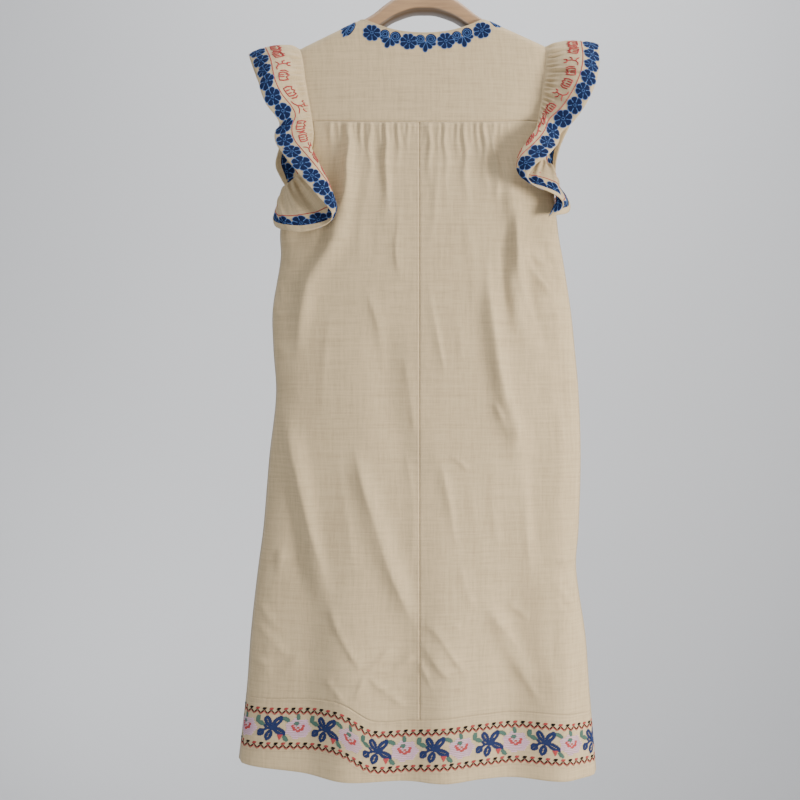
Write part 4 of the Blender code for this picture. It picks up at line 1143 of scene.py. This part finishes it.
class Neckline:
    """Places round the neckline, by metres along its edge and metres out from it."""

    def __init__(self, front):
        self.front = front
        x = np.linspace(NECK_LEFT, NECK_RIGHT, 400)
        lowest, power = (FRONT_NECK_Z, FRONT_NECK_POWER) if front else (BACK_NECK_Z, BACK_NECK_POWER)
        self.edge = np.stack((x, neck_z(x, lowest, power)), axis=1)
        run = unit(np.gradient(self.edge, axis=0))
        self.out = np.stack((run[:, 1], -run[:, 0]), axis=1)
        self.along = metres_along(self.edge)
        self.length = self.along[-1]

    def at(self, along, inward):
        """Places and normals; past the shoulder seam they carry on over it to the other side."""
        share = np.clip(along, 0, self.length)
        x, z, out_x, out_z = (np.interp(share, self.along, values) for values in (*self.edge.T, *self.out.T))
        beyond = along - share
        x = x + out_x * inward - out_z * beyond
        z = z + out_z * inward + out_x * beyond
        over = z - shoulder_z(x)
        other = (over > 0) & ((x < NECK_LEFT) | (x > NECK_RIGHT))
        z = np.where(other, z - 2 * over, z)
        place, normal = body_places(x, z, self.front)
        if other.any():
            turned_place, turned_normal = body_places(x, z, not self.front)
            place = np.where(other[:, None], turned_place, place)
            normal = np.where(other[:, None], turned_normal, normal)
        return place + LIFT * normal, normal


def finer(points, closed):
    """A stroke's points, with more of them where they lie far apart."""
    points = np.asarray(points, float)
    ends = np.concatenate((points, points[:1])) if closed else points
    found = []
    for here, following in zip(ends, ends[1:]):
        count = max(int(math.ceil(np.linalg.norm(following - here) / STROKE_STEP)), 1)
        found.append(here + (following - here) * (np.arange(count) / count)[:, None])
    if not closed:
        found.append(points[-1:])
    return np.concatenate(found)


def in_rings(points):
    """An outline's points, and the same drawn in towards its middle."""
    middle = points.mean(axis=0)
    return np.concatenate([middle + share * (points - middle) for share in PAD_RINGS])


def placed(motif, along, inward, turn=0.0, scale=1.0, mirror=False):
    """A motif's strokes, drawn in millimetres, put on a strip: (colour, along, inward, width, closed).

    A stroke without a width is a patch of satin stitches.
    """
    strokes = []
    c, s = math.cos(turn), math.sin(turn)
    for colour, points, width, closed in motif:
        points = (in_rings(points) if width is None else finer(points, closed)) * 0.001 * scale
        x = -points[:, 0] if mirror else points[:, 0]
        y = points[:, 1]
        width = None if width is None else width * scale
        strokes.append((colour, along + c * x - s * y, inward + s * x + c * y, width, closed))
    return strokes


def sew(stitches, cloth, strokes):
    """Sews strokes on the cloth as raised threads."""
    places, normals = cloth.at(np.concatenate([stroke[1] for stroke in strokes]),
                               np.concatenate([stroke[2] for stroke in strokes]))
    start = 0
    for colour, along, inward, width, closed in strokes:
        here = slice(start, start + len(along))
        if width is None:
            stitches.fill(colour, places[here], normals[here], np.stack((along, inward), axis=1))
        else:
            stitches.run(colour, places[here], normals[here], width, THREAD_RISE * width, closed)
        start = here.stop


def petal(angle, near, far, half):
    """Outline of a petal that points at an angle from its flower's middle."""
    t = 2 * math.pi * (np.arange(PETAL_POINTS) + 0.5) / PETAL_POINTS
    out = (near + far) / 2 + (far - near) / 2 * np.cos(t)
    aside = half * np.sin(t) * (PETAL_FULLNESS + PETAL_TAPER * np.cos(t))
    c, s = math.cos(angle), math.sin(angle)
    return np.stack((c * out - s * aside, s * out + c * aside), axis=1)


def filled_petal(angle, near, far, half):
    """A petal worked solid in navy with a paler loop round it."""
    outline = petal(angle, near, far, half)
    return [("navy", outline, None, True), ("blue", outline, LOOP_WIDTH, True)]


def circle(x, y, radius, points):
    """Outline of a round patch."""
    t = 2 * math.pi * np.arange(points) / points
    return np.stack((x + radius * np.cos(t), y + radius * np.sin(t)), axis=1)


def daisy(petals, radius, start=0.0):
    """Round flower with looped petals and a ringed middle."""
    strokes = [("navy", circle(0, 0, DAISY_MIDDLE * radius, 16), None, True)]
    for number in range(petals):
        angle = start + 2 * math.pi * number / petals
        far = radius * (1.0 + DAISY_UNEVEN * math.sin(3.1 * number))
        half = radius * math.sin(math.pi / petals) * DAISY_PETAL_WIDTH
        strokes += filled_petal(angle, DAISY_PETAL_START * radius, far, half)
    return strokes + [("blue", circle(0, 0, DAISY_RING * radius, 8), RING_WIDTH, True)]


def curl(x, y, radius, hand):
    """A spiral of thread."""
    t = np.linspace(0, 2 * math.pi * CURL_TURNS, int(CURL_POINTS * CURL_TURNS))
    out = radius * (1 - CURL_CLOSING * t / t[-1])
    return np.stack((x + hand * out * np.cos(t), y + out * np.sin(t)), axis=1)


def scroll():
    """Two curls over a fan of lobes."""
    strokes = []
    for degrees, far, half in SCROLL_LOBES:
        lobe = filled_petal(math.radians(degrees), SCROLL_LOBE_START, far, half)
        strokes += [(colour, points + SCROLL_FAN, width, closed) for colour, points, width, closed in lobe]
    for x, y, radius, hand in SCROLL_CURLS:
        strokes.append(("navy", circle(x, y, radius, 14), None, True))
        strokes.append(("blue", curl(x, y, radius - CURL_INSET, hand), CURL_WIDTH, False))
    return strokes


def red_line(places, closed=False):
    """A stroke of red thread through (x, y) places in millimetres."""
    return "red", places, RED_WIDTH, closed


TULIP = (
    red_line(((-3.6, 0.6), (-4.0, 4.6), (-3.0, 9.0), (-1.4, 6.8), (0.2, 9.8), (1.8, 6.8), (3.2, 9.0),
              (4.2, 4.6), (3.6, 0.6)), True),
    red_line(((-1.3, 1.0), (-1.3, 5.4))),
    red_line(((1.4, 1.0), (1.4, 5.4))),
    red_line(((5.0, 9.0), (6.6, 5.6), (6.0, 1.0))),
)
SPRIG = (
    red_line(((0.0, 10.4), (-0.6, 6.0), (0.4, 2.2), (3.4, 0.2), (6.4, 0.6))),
    red_line(((-5.4, 7.6), (-3.4, 5.2), (-0.6, 5.6))),
    red_line(((-2.6, 12.6), (-2.0, 10.0), (0.0, 8.8), (2.2, 10.0), (2.6, 12.6))),
    red_line(((0.4, 2.2), (-2.2, 1.6), (-4.4, -0.6))),
)

# Border of the band, in millimetres below its seam and along it
CELL = 1.28
REPEAT_CELLS = 64
FIELD_MIDDLE = 42.0
FIELD_CELLS = 33
ZIGZAG_PERIOD = 10.9
ZIGZAG_TOPS = (14.5, 65.0)

# Border's threads, in metres
ZIGZAG_DEPTH = 0.0050
ZIGZAG_WIDTH = 0.0015
ZIGZAG_HEIGHT = 0.0006
ZIGZAG_DROPS = (("red", 0.0036), ("ink", 0.0016))
BAR_HALF = 0.0029
BAR_PLACES = ((-0.0011, 0.0006), (-0.0001, 0.0), (0.0009, -0.0006))   # down, and along
BORDER_MARGIN = 0.004         # kept free at a band's ends
CELL_STITCH_WIDTH = 0.0016
CELL_STITCH_HEIGHT = 0.0004

# Patches of the border's flowers, in millimetres and degrees; each gives way to those before it
Patch = namedtuple("Patch", "colour kind x y wide tall turn")
BORDER = tuple(Patch(*row) for row in (
    ("green", "heart", 59.0, 5.4, 3.8, 3.6, 0),
    ("red", "scallop", 62.0, 2.0, 9.6, 8.0, 0),
    ("green", "oval", 61.0, 15.5, 2.7, 4.4, 8),
    ("pink", "hatch", 62.0, -1.0, 18.5, 14.5, 0),
    ("green", "oval", 43.5, 12.5, 6.4, 2.8, -32),
    ("green", "oval", 0.6, 12.6, 3.2, 5.4, -18),
    ("green", "oval", 6.0, 6.6, 5.6, 2.8, -24),
    ("red", "wedge", 35.5, -13.8, 4.4, 4.4, 0),
    ("green", "oval", 44.0, -15.5, 5.2, 2.8, -48),
    ("border", "petal", 16.5, 9.4, 8.4, 5.0, -62),
    ("border", "petal", 30.5, 9.0, 10.0, 5.0, 44),
    ("border", "petal", 34.0, -4.8, 10.8, 4.6, -26),
    ("border", "petal", 18.6, -10.8, 7.6, 5.2, 68),
    ("border", "petal", 6.4, -7.0, 6.2, 4.8, 38),
    ("border", "bar", 14.5, -1.6, 9.0, 1.3, 22),
    ("border", "bar", 11.0, 3.6, 7.0, 1.2, -40),
    ("border", "oval", 22.6, 0.6, 4.2, 3.4, 30),
))


def covers(patch, x, y):
    """Whether the patch fills each place."""
    turn = math.radians(patch.turn)
    dx, dy = x - patch.x, y - patch.y
    along = (math.cos(turn) * dx + math.sin(turn) * dy) / patch.wide
    across = (-math.sin(turn) * dx + math.cos(turn) * dy) / patch.tall
    out = np.hypot(along, across)
    if patch.kind == "petal":
        return (out < 1) & (np.hypot(along / 0.50, across / 0.17) > 1)
    if patch.kind == "hatch":
        ragged = 1 + 0.07 * np.cos(7 * np.arctan2(across, along))
        return (out < ragged) & ((np.round(x / CELL) + np.round(y / CELL)) % 2 == 0)
    if patch.kind == "scallop":
        angle = np.arctan2(across, along)
        ring = (out > 0.60 + 0.10 * np.cos(8 * angle)) & (out < 1.0 + 0.08 * np.cos(8 * angle))
        return (ring & (across < 0.30)) | ((out < 0.38) & (across < -0.1) & (np.abs(along) < 0.2))
    if patch.kind == "heart":
        return (np.hypot(np.abs(along) - 0.45, across - 0.25) < 0.56) | (
            (across < 0.3) & (across > -1) & (np.abs(along) < 0.9 * (across + 1)))
    if patch.kind == "wedge":
        return (np.abs(across) < 1) & (np.abs(along) < 0.5 * (1 + across))
    if patch.kind == "bar":
        return (np.abs(along) < 1) & (np.abs(across) < 1)
    return out < 1


def border_stitches():
    """Slanted stitches of one repeat of the flower border: colours, and places in millimetres."""
    columns = (np.arange(REPEAT_CELLS) + 0.5) * CELL
    x, y = np.meshgrid(columns, (np.arange(FIELD_CELLS) - FIELD_CELLS // 2) * CELL)
    taken = np.zeros(x.shape, bool)
    colours, places = [], []
    for patch in BORDER:
        here = np.zeros(x.shape, bool)
        for shift in (-REPEAT_CELLS * CELL, 0.0, REPEAT_CELLS * CELL):
            here |= covers(patch, x + shift, y)
        here &= ~taken
        taken |= here
        colours += [patch.colour] * int(here.sum())
        places += list(zip(x[here], FIELD_MIDDLE - y[here]))
    return colours, np.array(places)


def sew_bar(stitches, cloth, colour, start, end):
    """A straight thread between two places on a strip, kept off the strip's ends."""
    line = np.linspace(start, end, 4)
    line[:, 0] = np.clip(line[:, 0], 0.001, cloth.length - 0.001)
    places, normals = cloth.at(line[:, 0], line[:, 1])
    stitches.run(colour, places, normals, ZIGZAG_WIDTH, ZIGZAG_HEIGHT)


def sew_flowers(stitches, cloth):
    """The band's flowers, in slanted stitches."""
    colours, places = border_stitches()
    repeat = REPEAT_CELLS * CELL * 0.001
    count = int(math.ceil(cloth.length / repeat)) + 1
    start = cloth.length / 2 - count * repeat / 2
    half = 0.56 * CELL * 0.001
    ends = np.array(((-half, half), (half, -half)))
    for number in range(count):
        centre = places * 0.001 + (start + number * repeat, 0.0)
        inside = (centre[:, 0] > BORDER_MARGIN) & (centre[:, 0] < cloth.length - BORDER_MARGIN)
        strokes = (centre[inside][:, None, :] + ends).reshape(-1, 2)
        sewn, normals = cloth.at(strokes[:, 0], strokes[:, 1])
        for k, colour in enumerate(colour for colour, keep in zip(colours, inside) if keep):
            here = slice(2 * k, 2 * k + 2)
            stitches.run(colour, sewn[here], normals[here], CELL_STITCH_WIDTH, CELL_STITCH_HEIGHT)


def sew_zigzags(stitches, cloth):
    """The two zigzag lines of the band, with three bars in every dip."""
    period = ZIGZAG_PERIOD * 0.001
    half_steps = int(cloth.length / (period / 2)) - 1
    margin = (cloth.length - half_steps * period / 2) / 2
    for top in ZIGZAG_TOPS:
        for colour, drop in ZIGZAG_DROPS:
            corners = [(margin + n * period / 2, top * 0.001 + drop + (ZIGZAG_DEPTH if n % 2 else 0.0))
                       for n in range(half_steps + 1)]
            for here, following in zip(corners, corners[1:]):
                sew_bar(stitches, cloth, colour, here, following)
        for n in range(0, half_steps, 2):
            middle = margin + n * period / 2 + 0.0004
            for drop, shift in BAR_PLACES:
                sew_bar(stitches, cloth, "ink" if n % 4 == 0 else "red",
                        (middle - BAR_HALF + shift, top * 0.001 + drop),
                        (middle + BAR_HALF + shift, top * 0.001 + drop))


def dashes(stitches, line):
    """A row of topstitching along a line, given as its length and a function to places and normals."""
    reach, at = line
    starts = np.arange(0.001, reach - DASH_LENGTH, DASH_LENGTH + DASH_GAP)
    places, normals = at((starts[:, None] + np.linspace(0, DASH_LENGTH, 3)).ravel())
    for first in range(0, len(places), 3):
        here = slice(first, first + 3)
        stitches.run("cream", places[here], normals[here], DASH_WIDTH, DASH_HEIGHT)


def body_line(x, z, front):
    """A line on the body through (x, z) places, for dashes."""
    x, z = np.broadcast_arrays(x, z)
    along = metres_along(np.stack((x, z), axis=1))
    return along[-1], lambda wanted: body_places(
        np.interp(wanted, along, x), np.interp(wanted, along, z), front)


def edge_line(cloth, inward):
    """A line at one distance in from the edge of a strip or of the neck, for dashes."""
    return cloth.length, lambda along: cloth.at(along, np.full(len(along), inward))


def colour_setting(name, description, default):
    """A colour that the panel shows."""
    return bpy.props.FloatVectorProperty(
        name=name, description=description, default=default, subtype="COLOR", size=3)


class DressSettings(bpy.types.PropertyGroup):
    """Sizes and colours of the dress's looks."""
    cloth_grid: bpy.props.FloatProperty(
        name="Back grid", description="Spacing of the back panels' points", default=0.0032, unit="LENGTH")
    front_grid: bpy.props.FloatProperty(
        name="Front grid", description="Spacing of the front's points", default=0.0036, unit="LENGTH")
    columns_per_gather: bpy.props.IntProperty(
        name="Columns a gather", description="Points across one gather of a ruffle", default=10)
    ruffle_rows: bpy.props.IntProperty(
        name="Ruffle rows", description="Rows of points from a ruffle's seam to its edge", default=32)
    hem_thickness: bpy.props.FloatProperty(
        name="Hem thickness", description="Thickness of a turned hem", default=0.0016, unit="LENGTH")
    crease_strength: bpy.props.FloatProperty(
        name="Creases", description="Scale of the creases' heights", default=1.0)
    linen_colour: colour_setting("Linen", "Colour of the body's cloth", (0.52, 0.40, 0.235))
    navy_colour: colour_setting("Navy thread", "Filling thread of the blue flowers", (0.006, 0.014, 0.058))
    blue_colour: colour_setting("Blue thread", "Looped outlines of the blue flowers", (0.090, 0.185, 0.430))
    border_colour: colour_setting("Border blue", "Blue flowers of the border", (0.024, 0.038, 0.118))
    red_colour: colour_setting("Red thread", "Red lines and tulips", (0.46, 0.072, 0.072))
    green_colour: colour_setting("Green thread", "Leaves", (0.085, 0.165, 0.130))
    pink_colour: colour_setting("Pink thread", "Roses", (0.74, 0.50, 0.63))
    ink_colour: colour_setting("Black thread", "Zigzag lines", (0.014, 0.010, 0.010))
    cream_colour: colour_setting("Cream thread", "Topstitching", (0.50, 0.40, 0.28))
    wood_colour: colour_setting("Wood", "Colour of the hanger", (0.40, 0.245, 0.13))
    wall_colour: colour_setting("Wall", "Colour of the backdrop", (0.60, 0.61, 0.63))


def declare(node):
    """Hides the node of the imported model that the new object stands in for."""
    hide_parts(node)


def sewn_panel(name, grid, sides, cloth):
    """A cloth piece from its grid, with seam allowances turned under at some sides."""
    for side in sides:
        grid = turned_under(grid, side, SEAM_TURN)
    return grid_object(name, grid, cloth)


def band_grids():
    """Name, grid and side of each border band."""
    seams = [back_grid(left) for left in (True, False)]
    back = [np.concatenate((a[-1][::-1], b[-1][1:])) for a, b in zip(*seams)]
    front = [values[-1] for values in front_grid()]
    return [(name, cloth_grid(band_grid(*seam, side), side), side)
            for name, seam, side in (("hem_band_back", back, False), ("hem_band_front", front, True))]


class DRESS_OT_body(bpy.types.Operator):
    """Makes the yoke, the back and front panels and the border bands"""
    bl_idname = "dress.body"
    bl_label = "Body"

    def execute(self, context):
        size = context.scene.dress
        cloth = linen("woven_body", size.linen_colour)
        band_cloth = linen("woven_band", size.linen_colour)
        piece = sewn_panel("yoke", cloth_grid(yoke_grid(), False), ("top", "bottom"), cloth)
        declare("back_yoke")
        for node in ("back_left", "back_right"):
            grid = cloth_grid(back_grid(node == "back_left"), False)
            piece = sewn_panel(node + "_cloth", grid, ALL_SIDES, cloth)
            declare(node)
        piece = sewn_panel("front_cloth", cloth_grid(front_grid(), True), ALL_SIDES, cloth)
        declare("front")
        for name, grid, front in band_grids():
            grid = turned_under(grid, "bottom", hem_steps(*BAND_HEM))
            piece = sewn_panel(name + "_cloth", grid, ("top", "first", "last"), band_cloth)
            declare(name)
        return {"FINISHED"}


class DRESS_OT_sleeves(bpy.types.Operator):
    """Makes the two gathered ruffles round the armholes"""
    bl_idname = "dress.sleeves"
    bl_label = "Sleeves"

    def execute(self, context):
        cloth = linen("woven_ruffle", context.scene.dress.linen_colour)
        for node in ("sleeve_left", "sleeve_right"):
            grid = turned_under(sleeve_grid(node == "sleeve_left"), "bottom", hem_steps(*RUFFLE_HEM))
            piece = grid_object(node + "_cloth", grid, cloth)
            declare(node)
        return {"FINISHED"}


def armhole_line(left, front):
    """A line for dashes a little way in from the armhole's edge."""
    rows = armhole_rows(left)
    z = np.linspace(rows[0].z - ARMHOLE_STITCH_END, rows[-1].z + ARMHOLE_STITCH_END, 80)
    x = armhole_x(z, left, front) + (ARMHOLE_STITCH if left else -ARMHOLE_STITCH)
    return body_line(x, z, front)


class DRESS_OT_neck_embroidery(bpy.types.Operator):
    """Sews the row of blue daisies and scrolls round the neckline"""
    bl_idname = "dress.neck_embroidery"
    bl_label = "Neck embroidery"

    def execute(self, context):
        stitches = Stitches()
        back, front = Neckline(False), Neckline(True)
        flower, curls = daisy(8, NECK_DAISY_RADIUS), scroll()
        spots = np.interp(NECK_DAISIES, back.edge[:, 0], back.along)
        for number, along in enumerate(spots):
            sew(stitches, back, placed(flower, along, NECK_OFFSET, turn=0.2 * number))
        for along in np.interp(NECK_SCROLLS, back.edge[:, 0], back.along):
            sew(stitches, back, placed(curls, along, NECK_OFFSET))
        start = MOTIF_STEP - spots[0] - NECK_OVERLAP
        end = front.length - (MOTIF_STEP - (back.length - spots[-1])) + NECK_OVERLAP
        steps = 2 * int(round((end - start) / (2 * MOTIF_STEP)))
        for number, along in enumerate(np.linspace(start, end, steps + 1)):
            if number % 2:
                sew(stitches, front, placed(flower, along, NECK_OFFSET, turn=0.3 * number))
            else:
                sew(stitches, front, placed(curls, along, NECK_OFFSET, mirror=True))
        stitches.make("neck_embroidery")
        return {"FINISHED"}


def spaced(length, step):
    """Numbers and middles of the even steps nearest to the given one that fill a length."""
    count = int(round(length / step))
    return [(number, (number + 0.5) * length / count) for number in range(count)]


class DRESS_OT_ruffle_embroidery(bpy.types.Operator):
    """Sews the daisies, the red line and the tulips on both faces of the ruffles"""
    bl_idname = "dress.ruffle_embroidery"
    bl_label = "Ruffle embroidery"

    def execute(self, context):
        for name in ("left", "right"):
            grid = sleeve_grid(name == "left")
            for side, face in (("right_side", 1.0), ("wrong_side", -1.0)):
                stitches = Stitches()
                cloth = Strip(grid, from_bottom=True, closed=True, face=face)
                for number, along in spaced(cloth.length, RUFFLE_DAISY_STEP):
                    radius = RUFFLE_DAISY_RADIUS + RUFFLE_DAISY_SPREAD * math.sin(2.3 * number)
                    flower = daisy(7 - number % 2, radius, 0.9 * number)
                    sew(stitches, cloth, placed(flower, along, RUFFLE_DAISY_OFFSET))
                along = np.linspace(0, cloth.length, 500, endpoint=False)
                places, normals = cloth.at(along, RUFFLE_LINE + 0.0005 * np.sin(along * 60))
                stitches.run("red", places, normals, RUFFLE_LINE_WIDTH, RUFFLE_LINE_HEIGHT, closed=True)
                for number, along in spaced(cloth.length, TULIP_STEP) if face > 0 else ():
                    motif = SPRIG if number % 3 == 2 else TULIP
                    turn = 0.22 * math.sin(1.7 * number)
                    strokes = placed(motif, along, TULIP_OFFSET, turn, TULIP_SCALE, number % 2 == 1)
                    sew(stitches, cloth, strokes)
                stitches.make(f"ruffle_{name}_{side}")
        return {"FINISHED"}


class DRESS_OT_border_embroidery(bpy.types.Operator):
    """Sews the flower border and its zigzag lines on the bands"""
    bl_idname = "dress.border_embroidery"
    bl_label = "Border embroidery"

    def execute(self, context):
        for name, grid, _ in band_grids():
            stitches = Stitches()
            cloth = Strip(grid)
            sew_flowers(stitches, cloth)
            sew_zigzags(stitches, cloth)
            for inward in BAND_STITCH_ROWS:
                dashes(stitches, edge_line(cloth, inward))
            stitches.make(name + "_threads")
        return {"FINISHED"}


class DRESS_OT_topstitching(bpy.types.Operator):
    """Sews the rows of topstitching beside the seams and edges"""
    bl_idname = "dress.topstitching"
    bl_label = "Topstitching"

    def execute(self, context):
        stitches = Stitches()
        x = np.linspace(ARMHOLE_LEFT[4].x + YOKE_STITCH_END, ARMHOLE_RIGHT[4].x - YOKE_STITCH_END, 120)
        dashes(stitches, body_line(x, yoke_z(x) + EDGE_STITCH, False))
        z = np.linspace(yoke_z(CENTRE_X) - CENTRE_STITCH_END,
                        hem("band_top", CENTRE_X) + CENTRE_STITCH_END, 200)
        for aside in (-CENTRE_STITCH, CENTRE_STITCH):
            dashes(stitches, body_line(CENTRE_X + aside, z, False))
        for front in (False, True):
            dashes(stitches, edge_line(Neckline(front), EDGE_STITCH))
            for left in (True, False):
                dashes(stitches, armhole_line(left, front))
        for left in (True, False):
            cloth = Strip(sleeve_grid(left), from_bottom=True, closed=True)
            dashes(stitches, edge_line(cloth, RUFFLE_STITCH))
        stitches.make("topstitching")
        return {"FINISHED"}


def hanger_sections():
    """Sections of the hanger from its left end to its right end."""
    def arm(side):
        rows = []
        for out in HANGER_ARM:
            share = (out - HANGER_ARM[0]) / (HANGER_ARM[-1] - HANGER_ARM[0])
            top = float(shoulder_z(side * out)) - HANGER_CLEARANCE
            height = ARM_HEIGHT_IN + (ARM_HEIGHT_OUT - ARM_HEIGHT_IN) * share
            half = ARM_HALF_IN + (ARM_HALF_OUT - ARM_HALF_IN) * share
            rows.append(HangerRow(side * out, top, top - height, half))
        return rows
    crown = [HangerRow(-row.x, row.top, row.bottom, row.half) for row in HANGER_CROWN[:0:-1]]
    return arm(-1)[::-1] + crown + list(HANGER_CROWN) + arm(1)


def hanger_wood():
    """Mesh of the hanger's wood: rings of points along it, closed at both ends."""
    rows = hanger_sections()
    keys = column(rows, "x")
    x = np.linspace(keys[0], keys[-1], HANGER_STEPS)
    top, bottom, half = (smooth(keys, column(rows, name), x) for name in ("top", "bottom", "half"))
    round_off = np.sqrt(1 - np.clip((np.abs(x) - keys[-1] + HANGER_END) / HANGER_END_RUN, 0, 1) ** 2)
    angle = 2 * math.pi * np.arange(HANGER_SIDES) / HANGER_SIDES
    across, tall = (np.sign(wave) * np.abs(wave) ** (2 / HANGER_SQUARENESS)
                    for wave in (np.cos(angle), np.sin(angle)))
    points = np.stack(np.broadcast_arrays(
        x[:, None], (half * round_off)[:, None] * across,
        ((top + bottom) / 2)[:, None] + ((top - bottom) / 2 * round_off)[:, None] * tall), axis=2)
    index = np.arange(HANGER_STEPS * HANGER_SIDES).reshape(HANGER_STEPS, HANGER_SIDES)
    turned = np.roll(index, -1, axis=1)
    quads = np.stack((index[:-1], index[1:], turned[1:], turned[:-1]), axis=2).reshape(-1, 4).tolist()
    data = bpy.data.meshes.new("hanger_wood")
    ends = [index[0].tolist(), index[-1][::-1].tolist()]
    data.from_pydata(points.reshape(-1, 3).tolist(), [], quads + ends)
    data.shade_smooth()
    return data


def hanger_wire():
    """Curve of the hanger's hook: a short stem with a jog, then the round of the hook."""
    radius = HOOK_INNER_RADIUS + WIRE_RADIUS
    turn = np.radians(np.linspace(HOOK_START_DEGREES, HOOK_END_DEGREES, 64))
    route = HOOK_STEM + tuple((radius * math.cos(t), radius * math.sin(t) - HOOK_INNER_RADIUS) for t in turn)
    curve = bpy.data.curves.new("hanger_wire", "CURVE")
    curve.dimensions = "3D"
    curve.bevel_depth = WIRE_RADIUS
    curve.bevel_resolution = 6
    curve.use_fill_caps = True
    spline = curve.splines.new("POLY")
    spline.points.add(len(route) - 1)
    for point, (x, z) in zip(spline.points, route):
        point.co = (x, 0.0, z, 1.0)
    return curve


class DRESS_OT_hanger(bpy.types.Operator):
    """Makes the wooden hanger and its steel hook"""
    bl_idname = "dress.hanger"
    bl_label = "Hanger"

    def execute(self, context):
        tone = context.scene.dress.wood_colour
        # The wood's darkest tone is painted shade for its underside.
        wood = group_material(
            "beech_wood", "Wood grain", wood_group,
            {"Pale": darker(tone), "Dark": darker(tone, 0.6), "Raw": darker(tone, 0.2)},
            0.15, 0.0003, {"Coat Weight": 0.35, "Coat Roughness": 0.25})
        steel = group_material(
            "steel_wire", "Drawn steel", steel_group, {"Steel": (0.62, 0.62, 0.62, 1.0)},
            0.1, 0.0001, {"Metallic": 1.0})
        for name, data, material, node, slot_name in (
                ("hanger_wood", hanger_wood(), wood, "hanger_body", "beech_wood"),
                ("hanger_wire", hanger_wire(), steel, "hanger_hook", "steel_wire")):
            data.materials.append(material)
            piece = add_object(name, data)
            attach(piece, "root")
            declare(node)
        return {"FINISHED"}


def studio_wall(tone):
    """Matt wall paint with a faint mottle."""
    wall = bpy.data.materials.new("studio_wall")
    wall.use_nodes = True
    tree = wall.node_tree
    shader = tree.nodes["Principled BSDF"]
    shader.inputs["Roughness"].default_value = 0.9
    place = tree.nodes.new("ShaderNodeTexCoord")
    mottle = tree.nodes.new("ShaderNodeTexNoise")
    mottle.inputs["Scale"].default_value = 1.2
    tree.links.new(place.outputs["Object"], mottle.inputs["Vector"])
    colour = blend(Value(tree, mottle.outputs["Fac"]), darker(tone), darker(tone, 0.96))
    tree.links.new(colour.socket, shader.inputs["Base Color"])
    return wall


class DRESS_OT_stage(bpy.types.Operator):
    """Makes the pale studio, its soft lights and the camera"""
    bl_idname = "dress.stage"
    bl_label = "Stage"

    def execute(self, context):
        scene = context.scene
        world = bpy.data.worlds.new("studio_air")
        world.use_nodes = True
        air = world.node_tree.nodes["Background"]
        air.inputs["Color"].default_value = AIR_COLOUR
        air.inputs["Strength"].default_value = AIR_STRENGTH
        scene.world = world
        wall = studio_wall(scene.dress.wall_colour)
        for name, near_y, far_z in (
                ("studio_backdrop", WALL_Y, WALL_TOP), ("studio_floor", -STUDIO_HALF, FLOOR_Z)):
            data = bpy.data.meshes.new(name)
            corners = [(side * STUDIO_HALF, y, z) for side, y, z in (
                (-1, near_y, FLOOR_Z), (1, near_y, FLOOR_Z), (1, WALL_Y, far_z), (-1, WALL_Y, far_z))]
            data.from_pydata(corners, [], [(0, 1, 2, 3)])
            data.materials.append(wall)
            plane = add_object(name, data)
        for light in LIGHTS:
            data = bpy.data.lights.new(light.name, "AREA")
            data.energy, data.size, data.color = light.power, light.size, light.tint
            lamp = add_object(light.name, data)
            lamp.location = light.place
            way = np.subtract(light.aim, light.place)
            lamp.rotation_euler = (math.atan2(math.hypot(way[0], way[1]), -way[2]), 0.0,
                                   math.atan2(way[1], way[0]) - math.pi / 2)
        data = bpy.data.cameras.new("photo_camera")
        data.lens = CAMERA_LENS
        data.sensor_width = 36.0
        scene.camera = add_object("photo_camera", data)
        scene.camera.location = CAMERA_PLACE
        scene.camera.rotation_euler = (math.radians(90), 0.0, 0.0)
        return {"FINISHED"}


class DRESS_PT_panel(bpy.types.Panel):
    """Sizes, colours and steps of the dress's looks"""
    bl_idname = "DRESS_PT_panel"
    bl_label = "Dress"
    bl_space_type = "VIEW_3D"
    bl_region_type = "UI"
    bl_category = "Dress"

    def draw(self, context):
        for name in DressSettings.__annotations__:
            self.layout.prop(context.scene.dress, name)
        for operator in OPERATORS:
            self.layout.operator(operator.bl_idname)


OPERATORS = (DRESS_OT_body, DRESS_OT_sleeves, DRESS_OT_neck_embroidery, DRESS_OT_ruffle_embroidery,
             DRESS_OT_border_embroidery, DRESS_OT_topstitching, DRESS_OT_hanger, DRESS_OT_stage)
CLASSES = (DressSettings,) + OPERATORS + (DRESS_PT_panel,)


def register():
    """Adds the settings, the operators and the panel."""
    for each in CLASSES:
        bpy.utils.register_class(each)
    bpy.types.Scene.dress = bpy.props.PointerProperty(type=DressSettings)


def unregister():
    """Takes them out again."""
    del bpy.types.Scene.dress
    for each in reversed(CLASSES):
        bpy.utils.unregister_class(each)


def main():
    """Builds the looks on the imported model."""
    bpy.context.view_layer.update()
    register()
    bpy.ops.dress.body()
    bpy.ops.dress.sleeves()
    bpy.ops.dress.neck_embroidery()
    bpy.ops.dress.ruffle_embroidery()
    bpy.ops.dress.border_embroidery()
    bpy.ops.dress.topstitching()
    bpy.ops.dress.hanger()
    bpy.ops.dress.stage()


if __name__ == "__main__":
    main()
